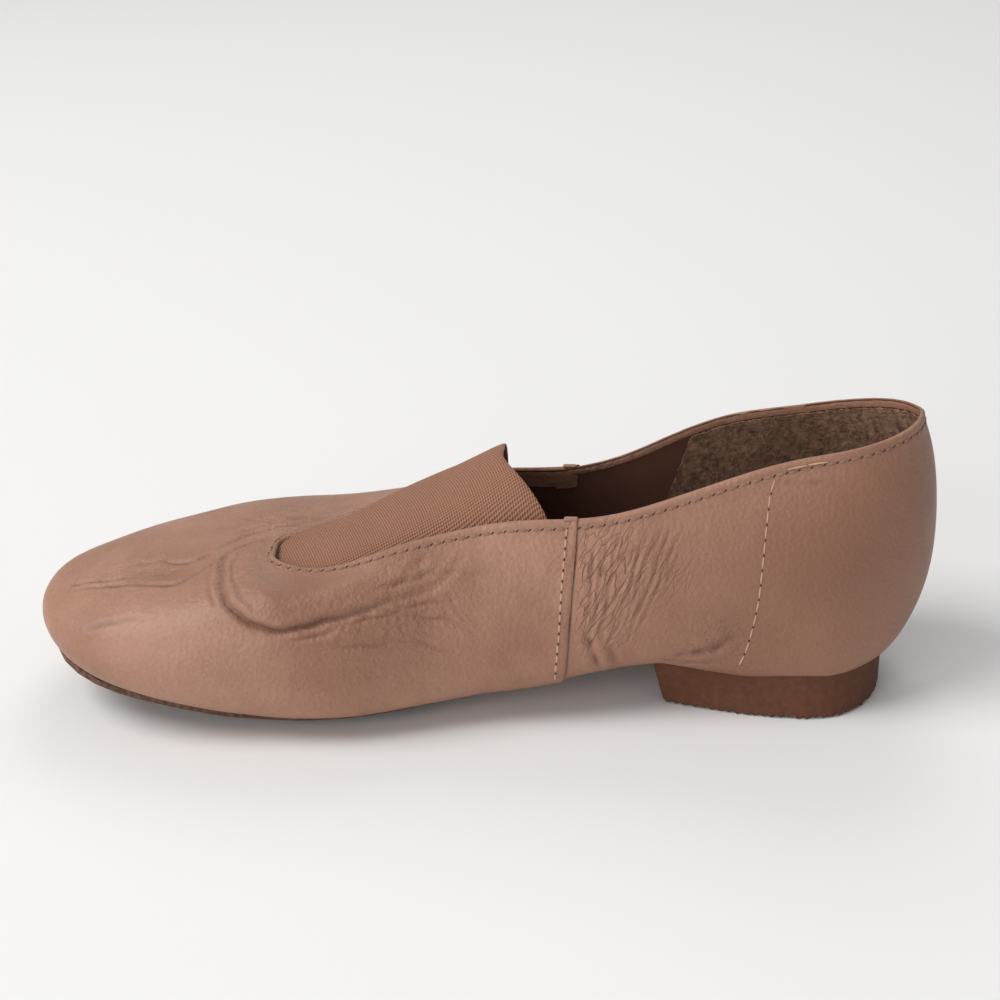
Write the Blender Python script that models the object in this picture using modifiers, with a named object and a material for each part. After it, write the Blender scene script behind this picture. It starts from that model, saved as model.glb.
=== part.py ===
# Jazz shoe for the right foot: slip-on leather upper with an elastic gore, split sole, low heel.
# Toe towards -X, heel towards +X, the wearer's inner side towards -Y, floor at Z = 0.
# All lengths are metres. The tables hold shares of the named sizes, a row for each section.
import bpy
import bmesh
import math
import numpy as np

OBJECT_NAME = "jazz_shoe"

# Outside sizes of the shoe, set by the last that it is pulled over
SHOE_LENGTH = 0.245
BALL_WIDTH = 0.0875
WAIST_WIDTH = 0.0700
SEAT_WIDTH = 0.0636
VAMP_HEIGHT = 0.0425
INSTEP_HEIGHT = 0.0680
COLLAR_BACK_HEIGHT = 0.0790
TOE_LIFT = 0.0055
BALL_LIFT = 0.0019
SEAT_LIFT = 0.0118

# Leather, elastic, sole pad and heel block
WALL = 0.0020
FIT_GAP = 0.0003
EDGE_FOLD_WIDTH = 0.0030
EDGE_FOLD_RISE = 0.0005
STEP_RUN = 0.0004
VAMP_LAP_RISE = 0.0008
VAMP_LAP_WIDTH = 0.0110
SEAM_LEAN = 0.0060
GORE_THICKNESS = 0.0012
GORE_TUCK = 0.0070
GORE_RISE = 0.0032
GORE_REAR_RISE = 0.0022
GORE_REAR_SLANT = 0.0110
GORE_REAR_CURVE = 1.5
LASTING_MARGIN = 0.0160
SOLE_PAD_THICKNESS = 0.0018
SOLE_PAD_RIM = 0.0014
SOLE_PAD_TOE_INSET = 0.0050
SOLE_PAD_SIDE_INSET = 0.0110
INSOLE_THICKNESS = 0.0015
INSOLE_GAP = 0.0006
INSOLE_INSET = 0.0110
HEEL_LENGTH = 0.0610
HEEL_WIDTH = 0.0566
HEEL_BREAST_WIDTH = 0.0430
HEEL_BACK_SETBACK = 0.0125
HEEL_BACK_ROUND = 0.42
HEEL_BACK_SQUARENESS = 0.9
HEEL_BREAST_SLANT = 0.0038
HEEL_TAPER = 0.0003

# Plan of the last: where the toe and heel rounds start, how square they are and how the toe swings
TOE_CENTRE = 0.25
HEEL_CENTRE = 0.86
TOE_SQUARENESS = 2.28
HEEL_SQUARENESS = 1.95
TOE_SWING = 0.0090
TOE_SWING_START = 0.50
TOE_SWING_CURVE = 1.2
SPOKE_SPREAD = 0.55
BACK_UNDER_ROUND = 2.8

# Stations along the shoe, as shares of its length
MIDDLE_LEAN_START = 0.10
THROAT_TIP = 0.270
THROAT_ROUND = 0.075
SIDE_SEAM = 0.587
SEAM_LEAN_REACH = 0.05
FRONT_SOLE_END = 0.50
HEEL_SOLE_START = 0.695
SOLE_END_ROUND = 0.08
GORE_REAR = 0.512

# One row for each section of the last. share: of the shoe length. width_of, height_of and lift_of name
# the size that a column follows. inner, outer: half widths. widest, crown: heights above the underside.
# low, high: how square the section is under and over its widest line. crown_shift: of the ball width.
LAST_COLUMNS = ("share", "width_of", "height_of", "lift_of", "inner", "outer", "under", "widest",
                "crown", "low", "high", "crown_shift")
LAST_ROWS = (
    (0.00, "ball", "vamp", "toe", 0.251, 0.251, 1.00, 0.50, 0.65, 2.40, 2.40, 0.00),
    (0.15, "ball", "vamp", "toe", 0.432, 0.434, 1.05, 0.28, 0.80, 2.66, 2.80, -0.05),
    (0.25, "ball", "vamp", "ball", 0.512, 0.470, 0.97, 0.33, 0.94, 3.05, 3.80, -0.11),
    (0.35, "ball", "vamp", "ball", 0.524, 0.466, 1.20, 0.24, 1.00, 3.13, 3.50, -0.14),
    (0.45, "ball", "instep", "ball", 0.460, 0.433, 1.75, 0.13, 0.77, 2.70, 2.11, -0.113),
    (0.55, "waist", "instep", "seat", 0.509, 0.476, 0.48, 0.13, 0.96, 2.56, 1.75, -0.070),
    (0.65, "waist", "back", "seat", 0.468, 0.449, 1.04, 0.08, 0.85, 3.50, 1.92, -0.020),
    (0.75, "seat", "back", "seat", 0.476, 0.497, 1.03, 0.21, 0.94, 5.50, 2.00, 0.00),
    (0.86, "seat", "back", "seat", 0.470, 0.499, 1.00, 0.32, 1.04, 8.00, 1.88, 0.00),
    (1.00, "seat", "back", "seat", 0.500, 0.500, 0.98, 0.44, 1.13, 8.00, 2.08, 0.00),
)

# Top edge of the leather: degrees round the section from its crown, for each side
EDGE_COLUMNS = ("share", "inner", "outer")
EDGE_ROWS = (
    (0.25, -9.0, 0.0),
    (0.31, -15.0, 1.1),
    (0.38, -18.0, 10.3),
    (0.46, -30.0, 30.0),
    (0.54, -40.6, 47.5),
    (0.62, -48.0, 54.5),
    (0.72, -50.4, 54.3),
    (0.84, -49.0, 54.8),
    (0.93, -51.5, 55.5),
    (1.00, -54.0, 54.0),
)

# How finely the forms are drawn
TOE_SPOKES = 12
HEEL_SPOKES = 8
COLUMN_PITCH = 0.0072
UPPER_UNDER_ROWS = 6
UPPER_SIDE_ROWS = 12
UNDER_TURN = 0.93
END_STEPS = 4
PAD_ROWS = 8
INSOLE_ROWS = 7
GORE_LENGTH_STEPS = 13
GORE_OPEN_PLACES = (0.32, 0.60, 0.82)
GORE_LEAST_SHARE = 0.4
GORE_LIMIT_STEPS = 60
HEEL_TOP_RINGS = (0.40, 0.70, 0.85, 0.93, 1.0)
HEEL_BREAST_PLACES = (0.6, 0.2, -0.2, -0.6)
HEEL_SIDE_STEPS = 5
HEEL_BACK_STEPS = 11
TRACE_STEPS = 160
TRACE_CROWDING = 0.8
MERGE_DISTANCE = 0.00002
SHARP_ANGLE = 45.0

# Base colour and roughness of each material
MATERIALS = {
    "tan_leather": ((0.36, 0.21, 0.145), 0.55),
    "elastic": ((0.48, 0.27, 0.19), 0.85),
    "lining_cloth": ((0.20, 0.11, 0.075), 0.90),
    "suede_sole": ((0.13, 0.06, 0.035), 0.90),
    "heel_stack": ((0.15, 0.07, 0.04), 0.85),
}

SIDES = {"inner": -1.0, "outer": 1.0}
WIDTHS = {"ball": BALL_WIDTH, "waist": WAIST_WIDTH, "seat": SEAT_WIDTH}
HEIGHTS = {"vamp": VAMP_HEIGHT, "instep": INSTEP_HEIGHT, "back": COLLAR_BACK_HEIGHT}
LIFTS = {"toe": TOE_LIFT, "ball": BALL_LIFT, "seat": SEAT_LIFT}
TOE_X = TOE_CENTRE * SHOE_LENGTH
HEEL_X = HEEL_CENTRE * SHOE_LENGTH
# Part-frame X of the toe tip: the origin is under the middle of the shoe
FRONT_X = -SHOE_LENGTH / 2


def clear_scene():
    for old in list(bpy.data.objects):
        bpy.data.objects.remove(old, do_unlink=True)


def smooth_through(knots, values, where):
    """Smooth curve through the rows of a table; straight beyond its ends."""
    where = np.asarray(where, dtype=float)
    span = np.diff(knots)
    slope = np.diff(values) / span
    tangent = np.empty_like(values)
    tangent[1:-1] = (slope[:-1] * span[1:] + slope[1:] * span[:-1]) / (span[:-1] + span[1:])
    tangent[0] = slope[0]
    tangent[-1] = slope[-1]
    cell = np.clip(np.searchsorted(knots, where) - 1, 0, len(knots) - 2)
    t = (where - knots[cell]) / span[cell]
    u = np.clip(t, 0.0, 1.0)
    inside = ((2 * u**3 - 3 * u**2 + 1) * values[cell]
              + (u**3 - 2 * u**2 + u) * span[cell] * tangent[cell]
              + (3 * u**2 - 2 * u**3) * values[cell + 1]
              + (u**3 - u**2) * span[cell] * tangent[cell + 1])
    before = np.where(t < 0, t * span[cell] * tangent[cell], 0.0)
    after = np.where(t > 1, (t - 1) * span[cell] * tangent[cell + 1], 0.0)
    return inside + before + after


def last_table():
    """The last's rows as arrays in metres and degrees, one for each column."""
    table = {name: [] for name in ("share", "inner", "outer", "under", "widest", "crown",
                                   "low", "high", "crown_shift")}
    for values in LAST_ROWS:
        row = dict(zip(LAST_COLUMNS, values))
        width = WIDTHS[row["width_of"]]
        height = HEIGHTS[row["height_of"]]
        under = row["under"] * LIFTS[row["lift_of"]]
        table["share"].append(row["share"])
        table["inner"].append(row["inner"] * width)
        table["outer"].append(row["outer"] * width)
        table["under"].append(under)
        table["widest"].append(under + row["widest"] * height)
        table["crown"].append(under + row["crown"] * height)
        table["low"].append(row["low"])
        table["high"].append(row["high"])
        table["crown_shift"].append(row["crown_shift"] * BALL_WIDTH)
    return {name: np.array(column) for name, column in table.items()}


LAST = last_table()
EDGE = {name: np.array(column) for name, column in zip(EDGE_COLUMNS, zip(*EDGE_ROWS))}


def last_value(name, share):
    return smooth_through(LAST["share"], LAST[name], share)


def edge_angle(name, share):
    return smooth_through(EDGE["share"], EDGE[name], share)


def axis_y(share):
    """Sideways swing of the toe towards the wearer's inner side."""
    swing = np.clip(1.0 - np.asarray(share, dtype=float) / TOE_SWING_START, 0.0, None)
    return -TOE_SWING * swing**TOE_SWING_CURVE


def middle_y():
    """Y of the heel's middle line that puts the origin in the middle of the shoe's width."""
    shares = np.linspace(TOE_CENTRE, HEEL_CENTRE, 200)
    reach_inner = np.min(axis_y(shares) - last_value("inner", shares))
    reach_outer = np.max(axis_y(shares) + last_value("outer", shares))
    return -(reach_inner + reach_outer) / 2


MIDDLE_Y = middle_y()


def roundness(x, offset, side):
    """Share of the way from the middle line to the widest outline at a place in plan."""
    share = x / SHOE_LENGTH
    middle = np.abs(offset) / last_value(side, np.clip(share, TOE_CENTRE, HEEL_CENTRE))
    ahead = np.clip((TOE_X - x) / TOE_X, 0.0, None)
    behind = np.clip((x - HEEL_X) / (SHOE_LENGTH - HEEL_X), 0.0, None)
    toe = (middle**TOE_SQUARENESS + ahead**TOE_SQUARENESS) ** (1.0 / TOE_SQUARENESS)
    heel = (middle**HEEL_SQUARENESS + behind**HEEL_SQUARENESS) ** (1.0 / HEEL_SQUARENESS)
    return np.where(x < TOE_X, toe, np.where(x > HEEL_X, heel, middle))


def outline_point(turn, side, centre_x, reach, squareness):
    """Plan point of the toe or heel round at an angle from straight ahead: reach, half width."""
    half = float(last_value(side, centre_x / SHOE_LENGTH))
    along = max(math.cos(turn), 0.0)
    across = math.sin(turn)
    radius = ((across / half) ** squareness + (along / reach) ** squareness) ** (-1.0 / squareness)
    return radius * along, radius * across


def plan_columns(side):
    """The columns of one side from toe tip to heel back: outline point and middle point in plan."""
    columns = []
    for step in range(TOE_SPOKES):
        turn = math.pi / 2 * step / TOE_SPOKES
        along, across = outline_point(turn, side, TOE_X, TOE_X, TOE_SQUARENESS)
        middle_x = TOE_X - SPOKE_SPREAD * TOE_X * math.cos(turn)
        columns.append((TOE_X - along, across, middle_x, 0.0))
    for share in straight_stations():
        x = share * SHOE_LENGTH
        lean = SEAM_LEAN * math.exp(-((share - SIDE_SEAM) / SEAM_LEAN_REACH) ** 2)
        columns.append((x, float(last_value(side, share)), x, lean))
    for step in range(1, HEEL_SPOKES + 1):
        turn = math.pi / 2 * (1.0 - step / HEEL_SPOKES)
        reach = SHOE_LENGTH - HEEL_X
        along, across = outline_point(turn, side, HEEL_X, reach, HEEL_SQUARENESS)
        middle_x = HEEL_X + SPOKE_SPREAD * reach * math.cos(turn)
        columns.append((HEEL_X + along, across, middle_x, 0.0))
    return columns


def straight_stations():
    """Shares of the length of the columns between the toe and heel rounds."""
    marks = [TOE_CENTRE, HEEL_CENTRE]
    half_step = STEP_RUN / SHOE_LENGTH / 2
    marks += [SIDE_SEAM - half_step, SIDE_SEAM + half_step]
    marks += [THROAT_TIP - EDGE_FOLD_WIDTH / SHOE_LENGTH]
    for step in range(END_STEPS + 1):
        bend = 1.0 - math.cos(math.pi / 2 * step / END_STEPS)
        marks.append(THROAT_TIP + THROAT_ROUND * bend)
        marks.append(FRONT_SOLE_END - SOLE_END_ROUND * bend)
        marks.append(HEEL_SOLE_START + SOLE_END_ROUND * bend)
    marks.sort()
    stations = [marks[0]]
    for mark in marks[1:]:
        gap = (mark - stations[-1]) * SHOE_LENGTH
        if gap < 2 * STEP_RUN and mark - half_step != SIDE_SEAM:
            continue
        parts = max(1, round(gap / COLUMN_PITCH))
        start = stations[-1]
        for part in range(1, parts + 1):
            stations.append(start + (mark - start) * part / parts)
    return stations


def round_end(share, tip, length):
    """Grows from 0 at the tip of an opening to 1 along a quarter round."""
    t = np.clip((share - tip) / length, 0.0, 1.0)
    return np.sqrt(1.0 - (1.0 - t) ** 2)


def crown_offset(angle, share):
    """Sideways offset from the crown of a section point at an angle from it."""
    side_half = np.where(angle < 0, last_value("inner", share), last_value("outer", share))
    rho = np.sin(np.radians(np.abs(angle))) ** (2.0 / last_value("high", share))
    return np.sign(angle) * rho * side_half


def crown_angle(offset, share):
    """Angle from the crown of a section point at a sideways offset from it."""
    side_half = np.where(offset < 0, last_value("inner", share), last_value("outer", share))
    rho = np.clip(np.abs(offset) / side_half, 0.0, 1.0)
    return np.sign(offset) * np.degrees(np.arcsin(rho ** (last_value("high", share) / 2.0)))


def throat_middle(share):
    """Sideways offset from the crown of the middle line of the throat, led on towards the toe."""
    edges = [crown_offset(edge_angle(side, share), share) for side in SIDES]
    lean = (share - MIDDLE_LEAN_START) / (THROAT_TIP - MIDDLE_LEAN_START)
    return sum(edges) / 2 * np.clip(lean, 0.0, 1.0)


def top_angle(side, share):
    """Degrees from the crown at which the leather ends on one side, the middle ahead of the throat."""
    edge = crown_offset(edge_angle(side, share), share)
    middle = throat_middle(share)
    opened = round_end(share, THROAT_TIP, THROAT_ROUND)
    return crown_angle(middle + (edge - middle) * opened, share)


def surface_point(x, offset, upper):
    """Point of the shoe's outside at a plan place; offset is negative on the inner side."""
    share = x / SHOE_LENGTH
    rho = np.where(offset < 0, roundness(x, offset, "inner"), roundness(x, offset, "outer"))
    rho = np.clip(rho, 0.0, 1.0)
    widest = last_value("widest", share)
    behind = np.clip((x - HEEL_X) / (SHOE_LENGTH - HEEL_X), 0.0, 1.0) * np.ones_like(rho)
    sideways = np.abs(offset) / last_value("outer", HEEL_CENTRE)
    facing = behind / np.maximum(np.hypot(behind, sideways), 1e-6)
    low = last_value("low", share)
    low = low + (BACK_UNDER_ROUND - low) * facing**1.5
    high = last_value("high", share)
    y = MIDDLE_Y + axis_y(share) + offset
    if upper:
        y = y + last_value("crown_shift", share) * (1.0 - rho)
        z = widest + (last_value("crown", share) - widest) * (1.0 - rho**high) ** (1.0 / high)
        angle = np.degrees(np.arcsin(np.clip(rho ** (high / 2.0), 0.0, 1.0))) * np.sign(offset)
    else:
        z = widest - (widest - last_value("under", share)) * (1.0 - rho**low) ** (1.0 / low)
        angle = np.full_like(rho, 90.0) * np.sign(offset)
    return np.stack([x + FRONT_X + 0 * rho, y, z], axis=-1), angle


def trace_column(column, side):
    """Dense line of one column from the middle of the underside up to the middle of the top."""
    outline_x, half, middle_x, lean = column
    sign = SIDES[side]
    turn = np.linspace(0.0, math.pi, 2 * TRACE_STEPS + 1)
    out = np.clip(np.sin(turn), 0.0, 1.0) ** TRACE_CROWDING
    out[TRACE_STEPS] = 1.0
    share = middle_x / SHOE_LENGTH
    top_middle = float(throat_middle(share)) if share < GORE_REAR else 0.0
    below = turn <= math.pi / 2
    x = middle_x + (outline_x - middle_x) * out + lean * (turn / math.pi - 0.5)
    start = np.where(below, 0.0, top_middle)
    offset = start + (sign * half - start) * out
    offset = np.where(np.abs(offset) < 1e-9, sign * 1e-9, offset)
    low_points, low_angle = surface_point(x, offset, False)
    top_points, angle = surface_point(x, offset, True)
    points = np.where(below[:, None], low_points, top_points)
    angle = np.where(below, low_angle, angle)
    return x / SHOE_LENGTH, out, angle, points


def lengths_along(points):
    steps = np.linalg.norm(np.diff(points, axis=0), axis=1)
    return np.concatenate([[0.0], np.cumsum(steps)])


def point_at(points, along, place):
    return np.stack([np.interp(place, along, points[:, axis]) for axis in range(3)], axis=-1)


def top_place(shares, angle, along, side):
    """Length along a column at which the leather's top edge crosses it."""
    sign = SIDES[side]
    rest = sign * (angle - top_angle(side, shares))
    rest[:TRACE_STEPS] = 1.0
    crossed = np.nonzero(rest <= 1e-7)[0]
    if len(crossed) == 0 or shares[-1] < THROAT_TIP:
        return along[-1]
    last = crossed[0]
    if rest[last] == rest[last - 1]:
        return along[last]
    t = rest[last - 1] / (rest[last - 1] - rest[last])
    return along[last - 1] + t * (along[last] - along[last - 1])


def bottom_place(column, out, along):
    """Length along a column at which the leather ends underneath."""
    outline_x, half, middle_x, _ = column
    share = outline_x / SHOE_LENGTH
    reach = math.hypot(outline_x - middle_x, half)
    opened = 0.0
    if share < FRONT_SOLE_END:
        opened = float(round_end(FRONT_SOLE_END - share, 0.0, SOLE_END_ROUND))
    if share > HEEL_SOLE_START:
        opened = float(round_end(share, HEEL_SOLE_START, SOLE_END_ROUND))
    stop = max(0.0, 1.0 - LASTING_MARGIN / reach) * opened
    return float(np.interp(stop, out[:TRACE_STEPS + 1], along[:TRACE_STEPS + 1]))


def upper_rows(column, side):
    """Points of one column of the upper: under the foot, up the side, then the folded edge."""
    shares, out, angle, points = trace_column(column, side)
    along = lengths_along(points)
    start = bottom_place(column, out, along)
    stop = top_place(shares, angle, along, side)
    fold = stop - EDGE_FOLD_WIDTH
    turn = max(start, np.interp(UNDER_TURN, out[:TRACE_STEPS + 1], along[:TRACE_STEPS + 1]))
    under = np.linspace(start, turn, UPPER_UNDER_ROWS + 1)[:-1]
    upwards = np.linspace(turn, fold - STEP_RUN, UPPER_SIDE_ROWS)
    return point_at(points, along, np.concatenate([under, upwards, [fold, stop]]))


def pad_inset(x):
    """Distance in plan from the shoe's outline to the sole pad's rim: less at the toe."""
    t = min(1.0, x / (THROAT_TIP * SHOE_LENGTH))
    return SOLE_PAD_TOE_INSET + (SOLE_PAD_SIDE_INSET - SOLE_PAD_TOE_INSET) * t


def underside_rows(column, side, inset, row_count, end_share=None):
    """Points of one column of a plate under or in the shoe, from the middle line to its rim."""
    shares, out, angle, points = trace_column(column, side)
    outline_x, half, middle_x, _ = column
    reach = math.hypot(outline_x - middle_x, half)
    limit = 1.0 - inset / reach
    if end_share is not None:
        limit *= float(round_end(end_share - outline_x / SHOE_LENGTH, 0.0, SOLE_END_ROUND))
    place = np.linspace(0.0, limit, row_count)
    return point_at(points[:TRACE_STEPS + 1], out[:TRACE_STEPS + 1], place)


def new_object(name, mesh, collection):
    obj = bpy.data.objects.new(name, mesh)
    collection.objects.link(obj)
    return obj


def add_material(obj, name):
    colour, roughness = MATERIALS[name]
    material = bpy.data.materials.new(name)
    material.use_nodes = True
    shader = material.node_tree.nodes["Principled BSDF"]
    shader.inputs["Base Color"].default_value = (*colour, 1.0)
    shader.inputs["Roughness"].default_value = roughness
    shader.inputs["Metallic"].default_value = 0.0
    obj.data.materials.append(material)


def smooth_shade(obj):
    obj.data.shade_smooth()
    obj.data.set_sharp_from_angle(angle=math.radians(SHARP_ANGLE))


def sheet_mesh(grids):
    """Open sheet from a grid of points for each side, merged where the sides meet, facing out.

    Each point comes with its raise, a length that the caller uses, kept in the sheet's raise layer.
    """
    work = bmesh.new()
    layer = work.verts.layers.float.new("raise")
    for grid, sign in grids:
        rows = []
        for column in grid:
            line = [work.verts.new(point) for point, _ in column]
            for vert, (_, lift) in zip(line, column):
                vert[layer] = lift
            rows.append(line)
        for left, right in zip(rows[:-1], rows[1:]):
            for step in range(len(left) - 1):
                corners = [left[step], right[step], right[step + 1], left[step + 1]]
                if sign > 0:
                    corners.reverse()
                work.faces.new(corners)
    bmesh.ops.remove_doubles(work, verts=work.verts, dist=MERGE_DISTANCE)
    bmesh.ops.dissolve_degenerate(work, edges=work.edges, dist=MERGE_DISTANCE)
    work.normal_update()
    work.verts.index_update()
    return work


def flat_columns(columns):
    """Columns of points for sheet_mesh, with no raise."""
    return [[(point, 0.0) for point in column] for column in columns]


def move_along_normals(work, distance, by_raise=False):
    layer = work.verts.layers.float["raise"]
    moves = []
    for vert in work.verts:
        moves.append(vert.normal * (distance + (vert[layer] if by_raise else 0.0)))
    for vert, move in zip(work.verts, moves):
        vert.co += move


def finish_sheet(work, name, collection):
    mesh = bpy.data.meshes.new(name)
    work.to_mesh(mesh)
    work.free()
    return new_object(name, mesh, collection)


def add_wall(obj, thickness, outwards, shares=None):
    """Solidify the sheet; shares, one for each vertex, thin the wall."""
    wall = obj.modifiers.new("wall", "SOLIDIFY")
    wall.thickness = thickness
    wall.offset = 1.0 if outwards else -1.0
    wall.use_rim = True
    if shares is not None:
        group = obj.vertex_groups.new(name="wall_share")
        for index, share in enumerate(shares):
            group.add([index], share, "REPLACE")
        wall.vertex_group = group.name
    return wall


def lap_rise(share):
    """Extra height of the vamp where it laps over the quarters, fading towards the toe."""
    ahead = (SIDE_SEAM - share) * SHOE_LENGTH
    if ahead <= 0:
        return 0.0
    return VAMP_LAP_RISE * max(0.0, 1.0 - max(0.0, ahead - VAMP_LAP_WIDTH) / VAMP_LAP_WIDTH)


def build_upper(collection):
    grids = []
    edge_points = []
    for side, sign in SIDES.items():
        columns = plan_columns(side)
        grid = []
        for column in columns:
            lap = lap_rise(column[0] / SHOE_LENGTH)
            grid.append([(point, lap) for point in upper_rows(column, side)])
        if grids:
            # The sides share the columns at the toe tip and at the back
            grid[0] = grids[0][0][0]
            grid[-1] = grids[0][0][-1]
        grids.append((grid, sign))
        for column, line in zip(columns, grid):
            if column[0] >= THROAT_TIP * SHOE_LENGTH:
                edge_points.append(line[-1][0])
    edge_line = np.array(edge_points)
    work = sheet_mesh(grids)
    layer = work.verts.layers.float["raise"]
    thickness = []
    for vert in work.verts:
        from_edge = np.min(np.linalg.norm(edge_line - np.array(vert.co), axis=1))
        fold = EDGE_FOLD_RISE if from_edge < EDGE_FOLD_WIDTH + STEP_RUN / 2 else 0.0
        thickness.append(WALL + fold + vert[layer])
    move_along_normals(work, -WALL)
    upper = finish_sheet(work, "upper", collection)
    most = max(thickness)
    add_wall(upper, most, True, [value / most for value in thickness])
    add_material(upper, "tan_leather")
    smooth_shade(upper)
    return upper


def gore_limits(side):
    """Offsets from the crown of the throat edge and of the gore's tucked edge, along the throat."""
    front = THROAT_TIP - GORE_TUCK / SHOE_LENGTH
    rear = GORE_REAR + (GORE_REAR_SLANT + GORE_TUCK) / SHOE_LENGTH
    shares = np.linspace(front, rear, GORE_LIMIT_STEPS)
    opened = []
    tucked = []
    for share in shares:
        column = (share * SHOE_LENGTH, float(last_value(side, share)), share * SHOE_LENGTH, 0.0)
        traced, _, angle, points = trace_column(column, side)
        along = lengths_along(points)
        stop = top_place(traced, angle, along, side)
        short = max(0.0, THROAT_TIP - share) * SHOE_LENGTH
        tuck = math.sqrt(max(0.0, GORE_TUCK**2 - short**2))
        top = slice(TRACE_STEPS, None)
        opened.append(crown_offset(np.interp(stop, along[top], angle[top]), share))
        tucked.append(crown_offset(np.interp(stop - tuck, along[top], angle[top]), share))
    return shares, np.array(opened), np.array(tucked)


def build_gore(collection):
    limits = {side: gore_limits(side) for side in SIDES}
    front = THROAT_TIP - GORE_TUCK / SHOE_LENGTH
    grid = []
    for step in range(GORE_LENGTH_STEPS + 1):
        ease = 1.0 - math.cos(math.pi / 2 * (step + 1) / (GORE_LENGTH_STEPS + 1))
        column = []
        for across in gore_places():
            slant = GORE_REAR_SLANT / SHOE_LENGTH * min(1.0, abs(across)) ** GORE_REAR_CURVE
            rear = GORE_REAR + slant
            share = front + (rear - front) * ease
            offset, open_share = gore_offset(limits, share, across)
            point, _ = surface_point(np.array(share * SHOE_LENGTH), offset, True)
            rise = GORE_RISE + (GORE_REAR_RISE - GORE_RISE) * ease**2
            ramp = min(1.0, max(0.0, (share - THROAT_TIP) / THROAT_ROUND))
            column.append((point, rise * ramp**2 * open_share))
        grid.append(column)
    work = sheet_mesh([(grid, -1.0)])
    move_along_normals(work, -WALL - FIT_GAP, by_raise=True)
    gore = finish_sheet(work, "gore", collection)
    add_wall(gore, GORE_THICKNESS, False)
    add_material(gore, "elastic")
    smooth_shade(gore)
    return gore


def gore_places():
    """Places across the gore: 1 is the throat edge, 2 the edge of the tuck under the leather."""
    half = list(GORE_OPEN_PLACES) + [1.0, 1.5, 2.0]
    return [-place for place in reversed(half)] + [0.0] + half


def gore_offset(limits, share, across):
    """Offset from the crown at a place across the gore, and how far it bulges there (0 to 1)."""
    places = {}
    for side, (shares, opened, tucked) in limits.items():
        places[side] = (float(np.interp(share, shares, opened)), float(np.interp(share, shares, tucked)))
    middle = sum(edge for edge, _ in places.values()) / 2
    edge, end = places["inner" if across < 0 else "outer"]
    free = (edge - middle) / (end - middle)
    shown = max(free, GORE_LEAST_SHARE)
    reach = abs(across)
    place = shown * reach if reach <= 1.0 else shown + (1.0 - shown) * (reach - 1.0)
    bulge = 0.0
    if free > GORE_LEAST_SHARE and reach <= 1.0:
        bulge = 1.0 - reach**4
    return middle + (end - middle) * place, bulge


def build_insole(collection):
    grids = []
    for side, sign in SIDES.items():
        columns = plan_columns(side)
        picked = columns[:-1:2] + [columns[-1]]
        rows = [underside_rows((*column[:3], 0.0), side, INSOLE_INSET, INSOLE_ROWS) for column in picked]
        grids.append((flat_columns(rows), sign))
    work = sheet_mesh(grids)
    move_along_normals(work, -WALL - INSOLE_GAP)
    insole = finish_sheet(work, "insole", collection)
    add_wall(insole, INSOLE_THICKNESS, False)
    add_material(insole, "lining_cloth")
    smooth_shade(insole)
    return insole


def build_front_sole(collection):
    grids = []
    for side, sign in SIDES.items():
        rows = []
        for column in plan_columns(side):
            if column[0] < FRONT_SOLE_END * SHOE_LENGTH - STEP_RUN:
                inset = pad_inset(column[0])
                rows.append(underside_rows(column, side, inset, PAD_ROWS, FRONT_SOLE_END))
        grids.append((flat_columns(rows), sign))
    work = sheet_mesh(grids)
    rim_share = SOLE_PAD_RIM / SOLE_PAD_THICKNESS
    shares = [rim_share if vert.is_boundary else 1.0 for vert in work.verts]
    move_along_normals(work, FIT_GAP)
    pad = finish_sheet(work, "front_sole", collection)
    wall = add_wall(pad, SOLE_PAD_THICKNESS, True, shares)
    bpy.context.view_layer.objects.active = pad
    bpy.ops.object.modifier_apply(modifier=wall.name)
    # The ball's wear spot is pressed flat on the floor
    for vert in pad.data.vertices:
        vert.co.z = max(vert.co.z, 0.0)
    add_material(pad, "suede_sole")
    smooth_shade(pad)
    return pad


def heel_outline():
    """Plan outline of the heel block on the floor, from breast round the back to breast."""
    back = SHOE_LENGTH - HEEL_BACK_SETBACK
    front = back - HEEL_LENGTH
    half = HEEL_WIDTH / 2
    breast_half = HEEL_BREAST_WIDTH / 2
    centre = back - HEEL_WIDTH * HEEL_BACK_ROUND
    near = []
    for step in range(HEEL_SIDE_STEPS):
        t = step / HEEL_SIDE_STEPS
        spread = breast_half + (half - breast_half) * math.sin(t * math.pi / 2)
        near.append((front + (centre - front) * t, -spread))
    for step in range(HEEL_BACK_STEPS + 1):
        turn = math.pi / 2 * step / HEEL_BACK_STEPS
        along = centre + (back - centre) * math.sin(turn) ** HEEL_BACK_SQUARENESS
        near.append((along, -half * max(math.cos(turn), 0.0) ** HEEL_BACK_SQUARENESS))
    far = [(x, -y) for x, y in reversed(near[:-1])]
    breast = [(front, breast_half * share) for share in HEEL_BREAST_PLACES]
    return np.array(near + far + breast)


def seat_height(x, y):
    """Height of the leather's underside over a plan place, less the fitting gap."""
    share = x / SHOE_LENGTH
    offset = y - float(axis_y(share))
    probe = 0.0005
    middle, _ = surface_point(np.array(x), np.array(offset), False)
    ahead, _ = surface_point(np.array(x + probe), np.array(offset), False)
    beside, _ = surface_point(np.array(x), np.array(offset + probe), False)
    slope_x = (ahead[2] - middle[2]) / probe
    slope_y = (beside[2] - middle[2]) / probe
    return middle[2] - FIT_GAP * math.sqrt(1.0 + slope_x**2 + slope_y**2)


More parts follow.
